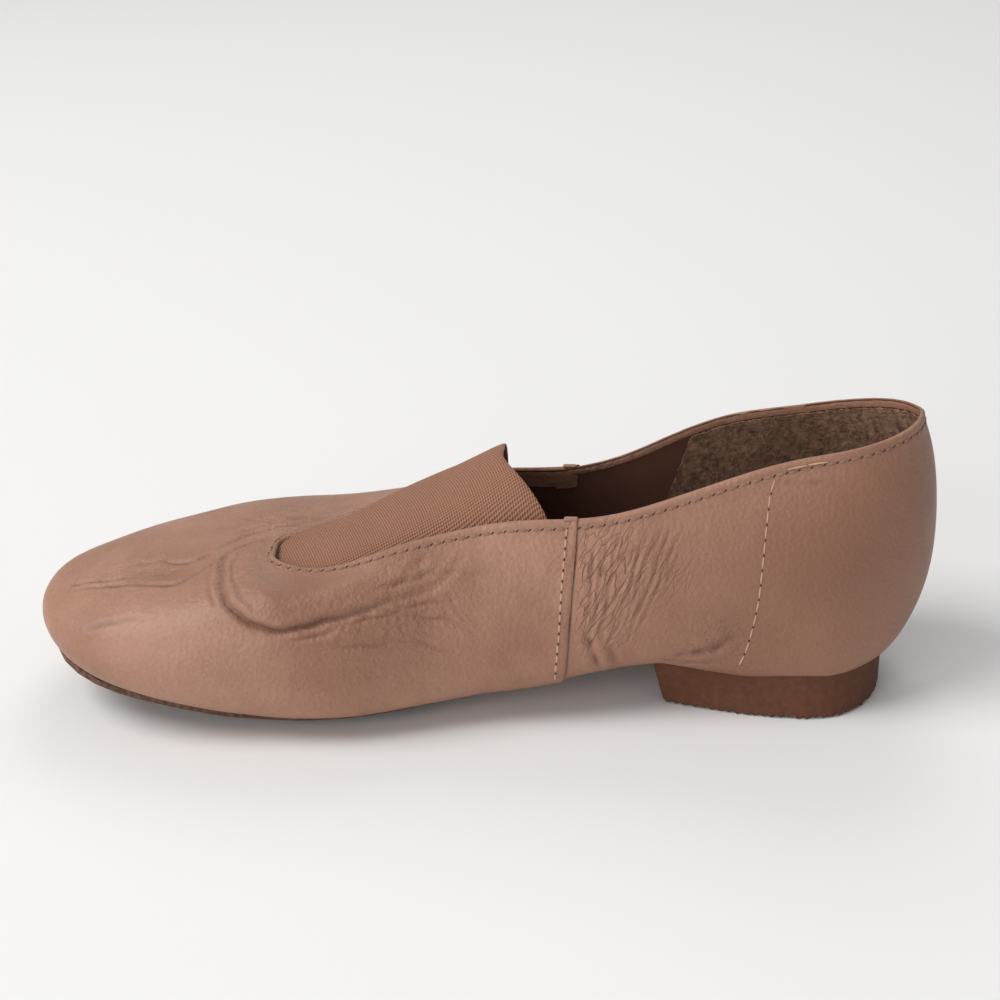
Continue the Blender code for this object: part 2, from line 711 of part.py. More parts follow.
def build_heel(collection):
    outline = heel_outline()
    centre = np.array([outline[:, 0].mean(), 0.0])
    front = outline[:, 0].min()
    work = bmesh.new()
    rings = []
    for scale in HEEL_TOP_RINGS:
        ring = []
        for x, y in centre + (outline - centre) * scale:
            lean = HEEL_BREAST_SLANT * max(0.0, 1.0 - (x - front) / (HEEL_LENGTH / 2))
            wider = 1.0 + HEEL_TAPER / (HEEL_WIDTH / 2)
            place_x = x - lean
            place_y = y * wider
            height = seat_height(place_x, place_y)
            ring.append(work.verts.new((place_x + FRONT_X, place_y + MIDDLE_Y, height)))
        rings.append(ring)
    pole = work.verts.new((centre[0] + FRONT_X, MIDDLE_Y, seat_height(centre[0], 0.0)))
    floor = [work.verts.new((x + FRONT_X, y + MIDDLE_Y, 0.0)) for x, y in outline]
    count = len(outline)
    for step in range(count):
        after = (step + 1) % count
        work.faces.new((rings[0][step], rings[0][after], pole))
        for inner, outer in zip(rings[:-1], rings[1:]):
            work.faces.new((outer[step], outer[after], inner[after], inner[step]))
        work.faces.new((floor[step], floor[after], rings[-1][after], rings[-1][step]))
    work.faces.new(list(reversed(floor)))
    work.normal_update()
    heel = finish_sheet(work, "heel", collection)
    add_material(heel, "heel_stack")
    smooth_shade(heel)
    return heel


def build():
    clear_scene()
    collection = bpy.data.collections.new(OBJECT_NAME)
    bpy.context.scene.collection.children.link(collection)
    build_upper(collection)
    build_gore(collection)
    build_insole(collection)
    build_front_sole(collection)
    build_heel(collection)


build()
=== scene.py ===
# Jazz shoe for the right foot: leather, elastic, stitching, lining and light over the modelled parts.
# Toe towards -X, the wearer's inner side towards -Y, floor at Z = 0. Lengths in the tables are millimetres.
import math
import random

import bpy
import bmesh
import numpy as np
from mathutils import Matrix, Vector
from mathutils.bvhtree import BVHTree
from mathutils.kdtree import KDTree


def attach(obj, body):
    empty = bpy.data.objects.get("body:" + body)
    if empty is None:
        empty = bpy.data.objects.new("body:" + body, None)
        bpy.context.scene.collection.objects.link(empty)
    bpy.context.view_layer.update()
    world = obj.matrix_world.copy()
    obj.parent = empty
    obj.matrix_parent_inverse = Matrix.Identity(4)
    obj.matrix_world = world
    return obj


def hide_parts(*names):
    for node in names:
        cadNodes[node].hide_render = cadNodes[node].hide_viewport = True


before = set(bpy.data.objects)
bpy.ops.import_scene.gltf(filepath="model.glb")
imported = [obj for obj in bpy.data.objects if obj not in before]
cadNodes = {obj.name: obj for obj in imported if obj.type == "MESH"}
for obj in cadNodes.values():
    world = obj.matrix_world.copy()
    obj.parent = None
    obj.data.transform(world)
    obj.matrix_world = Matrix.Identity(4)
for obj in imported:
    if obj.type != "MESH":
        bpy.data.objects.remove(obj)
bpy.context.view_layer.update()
mm = 0.001
middleLine = 5.2     # Y of the heel's middle line
random.seed(11)
print("shoe: parts loaded")


# ---- small helpers
def onlySelect(obj):
    bpy.ops.object.select_all(action="DESELECT")
    obj.select_set(True)
    bpy.context.view_layer.objects.active = obj


def editAll(obj):
    onlySelect(obj)
    bpy.ops.object.mode_set(mode="EDIT")
    bpy.ops.mesh.select_all(action="SELECT")


def endEdit():
    bpy.ops.object.mode_set(mode="OBJECT")


def duplicate(source, name):
    piece = source.copy()
    piece.data = source.data.copy()
    piece.name = name
    bpy.context.scene.collection.objects.link(piece)
    return piece


def copyOfPart(partName, pieceName):
    # loose triangles of the part, merged into one skin of mostly quads
    piece = duplicate(cadNodes[partName], pieceName)
    for key in list(piece.keys()):
        del piece[key]
    piece.data.name = pieceName
    piece.parent = None
    piece.data.materials.clear()
    editAll(piece)
    bpy.ops.mesh.customdata_custom_splitnormals_clear()
    bpy.ops.mesh.remove_doubles(threshold=0.00001)
    bpy.ops.mesh.tris_convert_to_quads(face_threshold=math.radians(50), shape_threshold=math.radians(60))
    endEdit()
    return piece


def applyModifier(obj, kind, **settings):
    onlySelect(obj)
    modifier = obj.modifiers.new(kind.lower(), kind)
    for name, value in settings.items():
        setattr(modifier, name, value)
    bpy.ops.object.modifier_apply(modifier=modifier.name)


def smoothShade(obj, degrees=60):
    onlySelect(obj)
    bpy.ops.object.shade_smooth_by_angle(angle=math.radians(degrees))


def readVectors(collection, field):
    values = np.empty(len(collection) * 3, dtype=np.float32)
    collection.foreach_get(field, values)
    return values.reshape(-1, 3).astype(float)


def pointsOf(obj):
    return readVectors(obj.data.vertices, "co")


def normalsOf(obj):
    return readVectors(obj.data.vertex_normals, "vector")


def faceCentres(obj):
    return readVectors(obj.data.polygons, "center")


def putPoints(obj, places):
    obj.data.vertices.foreach_set("co", places.astype(np.float32).ravel())
    obj.data.update()


def skinRegions(obj, degrees=68):
    # groups of faces parted by sharp edges, the largest first: outer skin, inner skin, rims
    work = bmesh.new()
    work.from_mesh(obj.data)
    work.faces.ensure_lookup_table()
    limit = math.radians(degrees)
    region = [-1] * len(work.faces)
    areas = []
    for first in work.faces:
        if region[first.index] >= 0:
            continue
        region[first.index] = len(areas)
        waiting = [first]
        area = 0.0
        while waiting:
            face = waiting.pop()
            area += face.calc_area()
            for edge in face.edges:
                if len(edge.link_faces) != 2 or edge.calc_face_angle(0.0) > limit:
                    continue
                for other in edge.link_faces:
                    if region[other.index] < 0:
                        region[other.index] = len(areas)
                        waiting.append(other)
        areas.append(area)
    order = sorted(range(len(areas)), key=lambda index: -areas[index])
    rank = {old: new for new, old in enumerate(order)}
    work.free()
    return [rank[value] for value in region]


def selectFaces(obj, chosen):
    # leaves the object in edit mode with these faces selected
    onlySelect(obj)
    bpy.ops.object.mode_set(mode="EDIT")
    bpy.ops.mesh.select_all(action="DESELECT")
    endEdit()
    obj.data.polygons.foreach_set("select", chosen)
    bpy.ops.object.mode_set(mode="EDIT")
    bpy.ops.mesh.select_mode(type="FACE")


def deleteFaces(obj, unwanted):
    selectFaces(obj, unwanted)
    bpy.ops.mesh.delete(type="FACE")
    endEdit()


def halveFaces(obj, chosen):
    selectFaces(obj, chosen)
    bpy.ops.mesh.subdivide(number_cuts=1, smoothness=0.0)
    endEdit()


def runOf(places):
    # length travelled at each point of a line
    return np.concatenate([[0.0], np.cumsum(np.linalg.norm(np.diff(places, axis=0), axis=1))])


def evenly(places, count):
    # the same number of even steps along any line
    run = runOf(places)
    return np.stack([np.interp(np.linspace(0.0, run[-1], count), run, places[:, axis]) for axis in range(3)], axis=1)


def pointTree(places):
    tree = KDTree(len(places))
    for index, place in enumerate(places):
        tree.insert(place, index)
    tree.balance()
    return tree


def otherSide(line):
    return [(x, 2 * middleLine - y, z) for x, y, z in line]


def finishPiece(obj, replaced=None, material=None, degrees=60):
    if material:
        obj.data.materials.append(material)
        smoothShade(obj, degrees)
    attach(obj, "root")
    if replaced:
        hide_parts(replaced)


# ---- materials
def addNode(tree, kind, inputs, **settings):
    # a shader node; each input is a value or a link
    node = tree.nodes.new(kind)
    for name, value in settings.items():
        setattr(node, name, value)
    for name, value in inputs.items():
        if isinstance(value, bpy.types.NodeSocket):
            tree.links.new(value, node.inputs[name])
        else:
            node.inputs[name].default_value = value
    return node


def startMaterial(name, colour, roughness):
    material = bpy.data.materials.new(name)
    material.use_nodes = True
    tree = material.node_tree
    shader = tree.nodes["Principled BSDF"]
    shader.inputs["Base Color"].default_value = (*colour, 1.0)
    shader.inputs["Roughness"].default_value = roughness
    return material, tree, shader, tree.nodes.new("ShaderNodeTexCoord").outputs["Object"]


def placed(tree, coords, scale=(1, 1, 1), turn=(0, 0, 0)):
    turn = [math.radians(value) for value in turn]
    return addNode(tree, "ShaderNodeMapping", {"Vector": coords, "Scale": scale, "Rotation": turn}).outputs["Vector"]


def noise(tree, coords, scale, detail=4.0, rough=0.55, distortion=0.0):
    return addNode(tree, "ShaderNodeTexNoise", {"Vector": coords, "Scale": scale, "Detail": detail,
                                                "Roughness": rough, "Distortion": distortion}).outputs["Fac"]


def cells(tree, coords, scale, feature="F1"):
    return addNode(tree, "ShaderNodeTexVoronoi", {"Vector": coords, "Scale": scale},
                   feature=feature).outputs["Distance"]


def stirred(tree, coords, scale, amount):
    # coordinates shaken by a noise, so that lines wander
    shake = addNode(tree, "ShaderNodeTexNoise", {"Vector": coords, "Scale": scale, "Detail": 2.0})
    centred = addNode(tree, "ShaderNodeVectorMath", {0: shake.outputs["Color"], 1: (0.5, 0.5, 0.5)},
                      operation="SUBTRACT")
    shaken = addNode(tree, "ShaderNodeVectorMath", {0: centred.outputs["Vector"], 1: [amount * mm] * 3, 2: coords},
                     operation="MULTIPLY_ADD")
    return shaken.outputs["Vector"]


def bands(tree, coords, scale, axis, distortion):
    return addNode(tree, "ShaderNodeTexWave", {"Vector": coords, "Scale": scale, "Distortion": distortion},
                   bands_direction=axis).outputs["Fac"]


def spread(tree, value, low, high):
    # 0 at the low value, 1 at the high one
    return addNode(tree, "ShaderNodeMapRange", {"Value": value, "From Min": low, "From Max": high}).outputs["Result"]


def mixColours(tree, share, first, second):
    first, second = [value if isinstance(value, bpy.types.NodeSocket) else (*value, 1.0) for value in (first, second)]
    return addNode(tree, "ShaderNodeMix", {0: share, 6: first, 7: second}, data_type="RGBA").outputs[2]


def maths(tree, first, second, operation):
    return addNode(tree, "ShaderNodeMath", {0: first, 1: second}, operation=operation).outputs["Value"]


def added(tree, first, second):
    return maths(tree, first, second, "ADD")


def times(tree, first, second):
    return maths(tree, first, second, "MULTIPLY")


def bumps(tree, shader, layers):
    # layers: height socket, strength, depth in millimetres
    normal = None
    for height, strength, depth in layers:
        inputs = {"Strength": strength, "Distance": depth * mm, "Height": height}
        if normal is not None:
            inputs["Normal"] = normal
        normal = addNode(tree, "ShaderNodeBump", inputs).outputs["Normal"]
    tree.links.new(normal, shader.inputs["Normal"])


def attributeOf(tree, name):
    return addNode(tree, "ShaderNodeAttribute", {}, attribute_name=name).outputs["Fac"]


leather = {
    "light": (0.385, 0.205, 0.138),
    "dark": (0.285, 0.140, 0.088),
    "paintedShadeColour": (0.225, 0.104, 0.062),          # painted shade where the leather faces away from the light
    # painted shade in crease troughs and cracks
    "shadeInCreases": (0.105, 0.042, 0.024),
    "roughness": 0.48,
    "gloss": 0.42,
    "mottleScale": 38.0,
    "speckScale": 900.0,
    "speckShare": 0.38,
    "grainScale": 820.0,                    # pebbles of the grain
    "grainDepth": 0.30,
    "poreScale": 520.0,
    "poreDepth": 0.16,
    "crumpleScale": 120.0,
    "crumpleDepth": 0.40,
    "crackScale": 270.0,                    # net of short cracks in the wrinkled places
    "crackShare": 0.17,
    "crackDepth": 0.42,
    "hairScale": 621.0,
    "fanLean": -27,                         # long cracks that lean back behind the side seam
    "fanScale": 400.0,
    "fanShare": 0.34,
    "fanDepth": 0.34,
}


def crackNet(tree, coords, scale, width):
    # 0 in the cracks, 1 between them
    return spread(tree, cells(tree, coords, scale, "DISTANCE_TO_EDGE"), 0.0, width)


# painted shade in the cracks: one minus the net, times area and share
def crackShade(tree, net, area, share):
    return times(tree, maths(tree, 1.0, net, "SUBTRACT"), times(tree, area, share))


def leatherMaterial():
    material, tree, shader, coords = startMaterial("tanLeather", leather["light"], leather["roughness"])
    wrinkled = attributeOf(tree, "wrinkled")
    fanned = attributeOf(tree, "fanned")
    mottled = noise(tree, coords, leather["mottleScale"], 5.0, 0.6)
    speck = noise(tree, coords, leather["speckScale"], 2.0, 0.7)
    pebble = cells(tree, coords, leather["grainScale"])
    pores = noise(tree, coords, leather["poreScale"], 5.0, 0.7)
    crumple = noise(tree, placed(tree, coords, (1.0, 1.0, 0.55), (0, 25, 0)), leather["crumpleScale"], 6.0, 0.62, 0.6)
    wandering = stirred(tree, placed(tree, coords, (0.55, 1.0, 1.0)), 260.0, 6.0)
    cracks = crackNet(tree, wandering, leather["crackScale"], 0.11)
    hairCracks = crackNet(tree, stirred(tree, coords, 500.0, 2.5), leather["hairScale"], 0.16)
    leaning = placed(tree, placed(tree, coords, turn=(0, leather["fanLean"], 0)), (1.1, 1.1, 0.16))
    longCracks = crackNet(tree, stirred(tree, leaning, 210.0, 6.0), leather["fanScale"], 0.085)

    tone = mixColours(tree, spread(tree, mottled, 0.35, 0.68), leather["light"], leather["dark"])
    # painted shade: darker where the leather faces away from the light, in the crease troughs and in the cracks; the
    # specks are the grain's own tone
    for share, colour in ((times(tree, spread(tree, speck, 0.40, 0.72), leather["speckShare"]), "dark"),
                          (attributeOf(tree, "paintedShade"), "paintedShadeColour"),
                          (attributeOf(tree, "creaseShade"), "shadeInCreases"),
                          (crackShade(tree, cracks, wrinkled, leather["crackShare"]), "shadeInCreases"),
                          (crackShade(tree, longCracks, fanned, leather["fanShare"]), "shadeInCreases")):
        tone = mixColours(tree, share, tone, leather[colour])
    tree.links.new(tone, shader.inputs["Base Color"])
    patchy = times(tree, noise(tree, coords, 70.0, 3.0), 0.22)
    tree.links.new(added(tree, patchy, leather["roughness"] - 0.10), shader.inputs["Roughness"])
    shader.inputs["Specular IOR Level"].default_value = leather["gloss"]

    net = added(tree, times(tree, cracks, 0.62), times(tree, hairCracks, 0.38))
    fine = times(tree, added(tree, net, spread(tree, crumple, 0.30, 0.72)), wrinkled)
    bumps(tree, shader, [(times(tree, longCracks, fanned), 0.9, leather["fanDepth"]),
                         (fine, 0.8, leather["crackDepth"]), (crumple, 0.35, leather["crumpleDepth"]),
                         (pores, 0.45, leather["poreDepth"]), (pebble, 0.45, leather["grainDepth"])])
    return material


elastic = {
    "light": (0.460, 0.224, 0.137),
    "dark": (0.190, 0.080, 0.045),
    "turn": -21.0,
    "ribs": 470.0,
    "threads": 500.0,
}


def elasticMaterial():
    material, tree, shader, coords = startMaterial("ribbedElastic", elastic["light"], 0.85)
    laid = placed(tree, coords, turn=(0, 0, elastic["turn"]))
    ribs = bands(tree, laid, elastic["ribs"], "Y", 0.35)
    threads = bands(tree, laid, elastic["threads"], "X", 0.5)
    weave = times(tree, maths(tree, ribs, threads, "MAXIMUM"), added(tree, threads, ribs))
    blotch = noise(tree, coords, 55.0, 3.0)
    tone = mixColours(tree, spread(tree, weave, 0.15, 1.35), elastic["dark"], elastic["light"])
    tone = mixColours(tree, times(tree, blotch, 0.25), tone, elastic["dark"])
    tree.links.new(tone, shader.inputs["Base Color"])
    bumps(tree, shader, [(weave, 0.75, 0.22), (noise(tree, coords, 2500.0, 2.0), 0.3, 0.08)])
    return material


def liningMaterial():
    material, tree, shader, coords = startMaterial("liningCloth", (0.110, 0.043, 0.024), 0.88)
    tone = mixColours(tree, noise(tree, coords, 60.0, 4.0), (0.150, 0.060, 0.034), (0.080, 0.030, 0.017))
    tree.links.new(tone, shader.inputs["Base Color"])
    weave = times(tree, bands(tree, coords, 420.0, "X", 0.4), bands(tree, coords, 420.0, "Z", 0.4))
    bumps(tree, shader, [(weave, 0.4, 0.2), (noise(tree, coords, 300.0, 4.0), 0.4, 0.3)])
    return material


def feltMaterial():
    material, tree, shader, coords = startMaterial("heelGripFelt", (0.115, 0.060, 0.036), 0.95)
    fuzz = noise(tree, coords, 420.0, 6.0, 0.75, 0.8)
    tone = mixColours(tree, spread(tree, fuzz, 0.32, 0.68), (0.052, 0.022, 0.012), (0.370, 0.210, 0.130))
    tree.links.new(tone, shader.inputs["Base Color"])
    bumps(tree, shader, [(fuzz, 0.9, 0.9), (noise(tree, coords, 1500.0, 4.0), 0.5, 0.25)])
    return material


def suedeMaterial():
    material, tree, shader, coords = startMaterial("soleSuede", (0.13, 0.06, 0.035), 0.92)
    nap = noise(tree, coords, 700.0, 5.0, 0.7)
    tone = mixColours(tree, spread(tree, nap, 0.35, 0.7), (0.075, 0.034, 0.022), (0.20, 0.105, 0.068))
    tree.links.new(tone, shader.inputs["Base Color"])
    ribs = bands(tree, coords, 140.0, "X", 0.6)
    bumps(tree, shader, [(ribs, 0.6, 0.5), (nap, 0.6, 0.3)])
    return material


def heelMaterial():
    material, tree, shader, coords = startMaterial("heelFoam", (0.10, 0.035, 0.014), 0.88)
    grain = noise(tree, coords, 420.0, 6.0, 0.7)
    tone = mixColours(tree, spread(tree, grain, 0.32, 0.72), (0.122, 0.043, 0.017), (0.076, 0.026, 0.011))
    tree.links.new(tone, shader.inputs["Base Color"])
    bumps(tree, shader, [(grain, 0.6, 0.35), (cells(tree, coords, 900.0), 0.4, 0.15)])
    return material


def plainMaterial(name, colour, roughness, bumpScale=0.0, bumpDepth=0.0):
    material, tree, shader, coords = startMaterial(name, colour, roughness)
    tone = mixColours(tree, noise(tree, coords, 300.0, 3.0), colour, [value * 0.72 for value in colour])
    tree.links.new(tone, shader.inputs["Base Color"])
    if bumpScale:
        bumps(tree, shader, [(noise(tree, coords, bumpScale, 4.0), 0.5, bumpDepth)])
    return material


tanLeather = leatherMaterial()
ribbedElastic = elasticMaterial()
liningCloth = liningMaterial()
heelGripFelt = feltMaterial()
soleSuede = suedeMaterial()
heelFoam = heelMaterial()
beigeThread = plainMaterial("beigeThread", (0.56, 0.35, 0.245), 0.7, 3000.0, 0.05)
tanThread = plainMaterial("tanThread", (0.30, 0.165, 0.112), 0.75, 3000.0, 0.05)
# the needle holes' dark is painted shade
needleHoleShade = plainMaterial("needleHoleShade", (0.072, 0.030, 0.018), 0.95)
insoleSuede = plainMaterial("insoleSuede", (0.125, 0.062, 0.042), 0.92, 500.0, 0.25)
print("shoe: materials made")


# ---- the leather skin, its edge line and its creases
upperSkin = copyOfPart("upper", "leatherUpper")
regionOf = skinRegions(upperSkin)
outerRegion, innerRegion = 0, 1


def collarEdge(obj, regions):
    # ordered samples round the collar and throat: place, normal of the outer skin, way down the skin
    work = bmesh.new()
    work.from_mesh(obj.data)
    links = {}
    for edge in work.edges:
        if len(edge.link_faces) != 2:
            continue
        sides = [regions[face.index] for face in edge.link_faces]
        if (sides[0] == outerRegion) == (sides[1] == outerRegion):
            continue
        middle = (edge.verts[0].co + edge.verts[1].co) / 2
        if middle.z < 30 * mm:      # the toe and the arch have no open edge
            continue
        face = edge.link_faces[0 if sides[0] == outerRegion else 1]
        along = (edge.verts[1].co - edge.verts[0].co).normalized()
        inwards = face.calc_center_median() - middle
        inwards = (inwards - along * inwards.dot(along)).normalized()
        sample = (middle.copy(), face.normal.copy(), inwards)
        for vert in edge.verts:
            links.setdefault(vert.index, []).append((edge.index, sample))
    ends = {edge.index: (edge.verts[0].index, edge.verts[1].index) for edge in work.edges}
    work.verts.ensure_lookup_table()
    start = min(links, key=lambda index: work.verts[index].co.x)
    ordered = []
    used = set()
    here = start
    while True:
        onward = [link for link in links[here] if link[0] not in used]
        if not onward:
            break
        onward.sort(key=lambda link: link[1][0].y)
        edgeIndex, sample = onward[0]
        used.add(edgeIndex)
        ordered.append(sample)
        first, second = ends[edgeIndex]
        here = second if first == here else first
        if here == start:
            break
    work.free()
    return ordered


edgeSamples = collarEdge(upperSkin, regionOf)
edgeCorners = np.array([sample[0][:] for sample in edgeSamples + edgeSamples[:1]])
edgePitch = 0.6 * mm
edgePlaces = evenly(edgeCorners, int(runOf(edgeCorners)[-1] / edgePitch))
print("shoe: collar edge of", len(edgeSamples), "steps, tip at", [round(value, 4) for value in edgePlaces[0]])

leatherPiece = {
    "turnedEdge": 2.6,      # leather folded to the inside along the collar
    "farFacing": 7.0,       # wider facing inside the far side, ahead of the seam
    "edgeFade": 10.0,       # the wall thins towards the edge over this reach
    "edgeThin": 0.5,
    "rimReach": 1.3,        # how far the turned edge's rim is pulled into line
    "fineFront": -115.0,    # where the skin is drawn finer
    "fineBack": 50.0,
    "fineLow": 14.0,
    "fineFar": 22.0,
}


def nearEdge(places):
    gaps = np.full(len(places), 1.0)
    for start in range(0, len(places), 4000):
        block = places[start:start + 4000]
        gaps[start:start + 4000] = np.sqrt(((block[:, None, :] - edgePlaces[None, :, :]) ** 2).sum(2)).min(1)
    return gaps


def thinTurnedEdge(obj, regions):
    # the folded edge of the leather is only about two skins thick
    outside = [polygon.index for polygon in obj.data.polygons if regions[polygon.index] == outerRegion]
    corners = [vert.co for vert in obj.data.vertices]
    outerSkin = BVHTree.FromPolygons(corners, [obj.data.polygons[index].vertices[:] for index in outside])
    onOuter = np.zeros(len(corners), dtype=bool)
    for index in outside:
        onOuter[list(obj.data.polygons[index].vertices)] = True
    places = pointsOf(obj)
    gaps = nearEdge(places)
    for index in np.nonzero(~onOuter & (gaps < leatherPiece["edgeFade"] * mm))[0]:
        spot, _, _, distance = outerSkin.find_nearest(Vector(places[index]))
        if distance is None or distance > 4 * mm:
            continue
        share = 1 - max(0.0, gaps[index] - leatherPiece["turnedEdge"] * mm) / (
            (leatherPiece["edgeFade"] - leatherPiece["turnedEdge"]) * mm)
        places[index] += (np.array(spot) - places[index]) * leatherPiece["edgeThin"] * share
    putPoints(obj, places)


throatRound = {
    # how far the far side of the throat stands off (mm) by place along the shoe
    "along": [-70, -66, -62, -58, -51, -44, -36],
    "out": [0.0, 1.2, 3.8, 5.8, 6.4, 3.0, 0.0],
    "fade": 10.0,
}
throatTip = edgePlaces[edgePlaces[:, 0].argmin()]


def roundThroat(places):
    # widens the front of the throat to a round U on its far side
    behindTip = edgePlaces[:, 0] < -20 * mm
    farSide = edgePlaces[behindTip & (edgePlaces[:, 1] > throatTip[1])]
    nearSide = edgePlaces[behindTip & (edgePlaces[:, 1] <= throatTip[1])]
    farSide = farSide[farSide[:, 0].argsort()]
    nearSide = nearSide[nearSide[:, 0].argsort()]
    farY = np.interp(places[:, 0], farSide[:, 0], farSide[:, 1])
    nearY = np.interp(places[:, 0], nearSide[:, 0], nearSide[:, 1])
    middleY = (farY + nearY) / 2
    share = np.clip((places[:, 1] - middleY) / np.maximum(farY - middleY, 1 * mm), 0, 1)
    share = share * share * (3 - 2 * share)
    outside = np.clip(places[:, 1] - farY, 0, None)
    share *= np.exp(-(outside / (throatRound["fade"] * mm)) ** 2)
    share *= np.clip((places[:, 2] - 32 * mm) / (5 * mm), 0, 1)
    moved = places.copy()
    moved[:, 1] += share * np.interp(places[:, 0] / mm, throatRound["along"], throatRound["out"]) * mm
    return moved


seatOverhang = {
    # leather that bulges over the top of the heel block (mm)
    "along": [48, 60, 70, 92, 104, 114],
    "share": [0.0, 0.6, 1.0, 1.0, 0.45, 0.1],
    "height": 13.0,
    "reach": 7.5,
    "drop": 3.1,
    "out": 1.4,
    "halfWidth": 28.0,
}
farCollar = {"lift": 1.6, "middle": 69, "reach": 17}


def settleLeather(places):
    # round throat, far collar a little higher, seat leather down over the heel block
    moved = roundThroat(places)
    x, y, z = (places / mm).T
    lift = np.exp(-((x - farCollar["middle"]) / farCollar["reach"]) ** 2)
    lift = lift * np.clip((y - 8) / 8, 0, 1) * np.clip((z - 38) / 18, 0, 1)
    moved[:, 2] += farCollar["lift"] * mm * lift
    seat = np.interp(x, seatOverhang["along"], seatOverhang["share"])
    seat = seat * np.exp(-((z - seatOverhang["height"]) / seatOverhang["reach"]) ** 2)
    moved[:, 2] -= seat * seatOverhang["drop"] * mm
    away = np.stack([(x - 72) * 0.45, y - middleLine], axis=1)
    away /= np.linalg.norm(away, axis=1)[:, None] + 1e-9
    rim = np.clip((np.abs(y - middleLine) / seatOverhang["halfWidth"]), 0, 1) ** 4
    rim = np.maximum(rim, np.clip((x - 96) / 10, 0, 1))
    moved[:, :2] += away * (seat * rim * seatOverhang["out"] * mm)[:, None]
    return moved


# lining and heel grip start as copies of the merged skin
thinTurnedEdge(upperSkin, regionOf)
liningPiece = duplicate(upperSkin, "quarterLining")

skinRegion = np.array(regionOf)
centres = faceCentres(upperSkin)
facing = (centres[:, 1] > 18 * mm) & (centres[:, 0] > 0) & (centres[:, 0] < 25 * mm)
deleteFaces(upperSkin, (skinRegion == innerRegion) & (nearEdge(centres) > np.where(facing, 14, 9) * mm))
upperSkin.data.materials.append(tanLeather)
upperSkin.data.materials.append(liningCloth)        # marks the inner skin until it is trimmed
keptRegions = skinRegions(upperSkin)
innerMark = [int(region != outerRegion) for region in keptRegions]
upperSkin.data.polygons.foreach_set("material_index", innerMark)
deleteFaces(liningPiece, skinRegion != innerRegion)

applyModifier(upperSkin, "SUBSURF", levels=2, render_levels=2, boundary_smooth="PRESERVE_CORNERS")
centres = faceCentres(upperSkin)
isInner = np.array([face.material_index for face in upperSkin.data.polygons]) == 1
facing = (centres[:, 1] > 18 * mm) & (centres[:, 0] > 6 * mm) & (centres[:, 0] < 24.5 * mm)
turned = np.where(facing, leatherPiece["farFacing"], leatherPiece["turnedEdge"]) * mm
deleteFaces(upperSkin, isInner & (nearEdge(centres) > turned))

# the rim of the turned edge is pulled into an even line
uses = {}
for face in upperSkin.data.polygons:
    for key in face.edge_keys:
        uses[key] = uses.get(key, 0) + 1
brink = sorted({corner for key, count in uses.items() if count == 1 for corner in key})
places = pointsOf(upperSkin)
for index in brink:
    toEdge = edgePlaces - places[index]
    reach = np.linalg.norm(toEdge, axis=1)
    nearest = reach.argmin()
    if abs(reach[nearest] - leatherPiece["turnedEdge"] * mm) < leatherPiece["rimReach"] * mm:
        places[index] = edgePlaces[nearest] - toEdge[nearest] / reach[nearest] * leatherPiece["turnedEdge"] * mm
putPoints(upperSkin, places)
upperSkin.data.polygons.foreach_set("material_index", [0] * len(upperSkin.data.polygons))
upperSkin.data.materials.clear()
centres = faceCentres(upperSkin)
halveFaces(upperSkin, (centres[:, 0] > leatherPiece["fineFront"] * mm) & (centres[:, 0] < leatherPiece["fineBack"] * mm)
           & (centres[:, 2] > leatherPiece["fineLow"] * mm) & (centres[:, 1] < leatherPiece["fineFar"] * mm))
putPoints(upperSkin, settleLeather(pointsOf(upperSkin)))
throatSamples = [(Vector(place), sample[1], sample[2])
                 for place, sample in zip(settleLeather(edgeCorners[:-1]), edgeSamples)]
print("shoe: leather skin has", len(upperSkin.data.vertices), "points")


# each crease: its line over the shoe (mm), then depth and half width of the trough, the lip beside it and
# how far off it stands, and how much the line wanders; a depth below 0 is a ridge
def softCrease(line, depth, width, lip=0.0, lipAt=0.0, wobble=0.0, bothSides=False):
    return {"line": line, "depth": depth, "width": width, "lip": lip, "lipAt": lipAt, "wobble": wobble,
            "bothSides": bothSides}


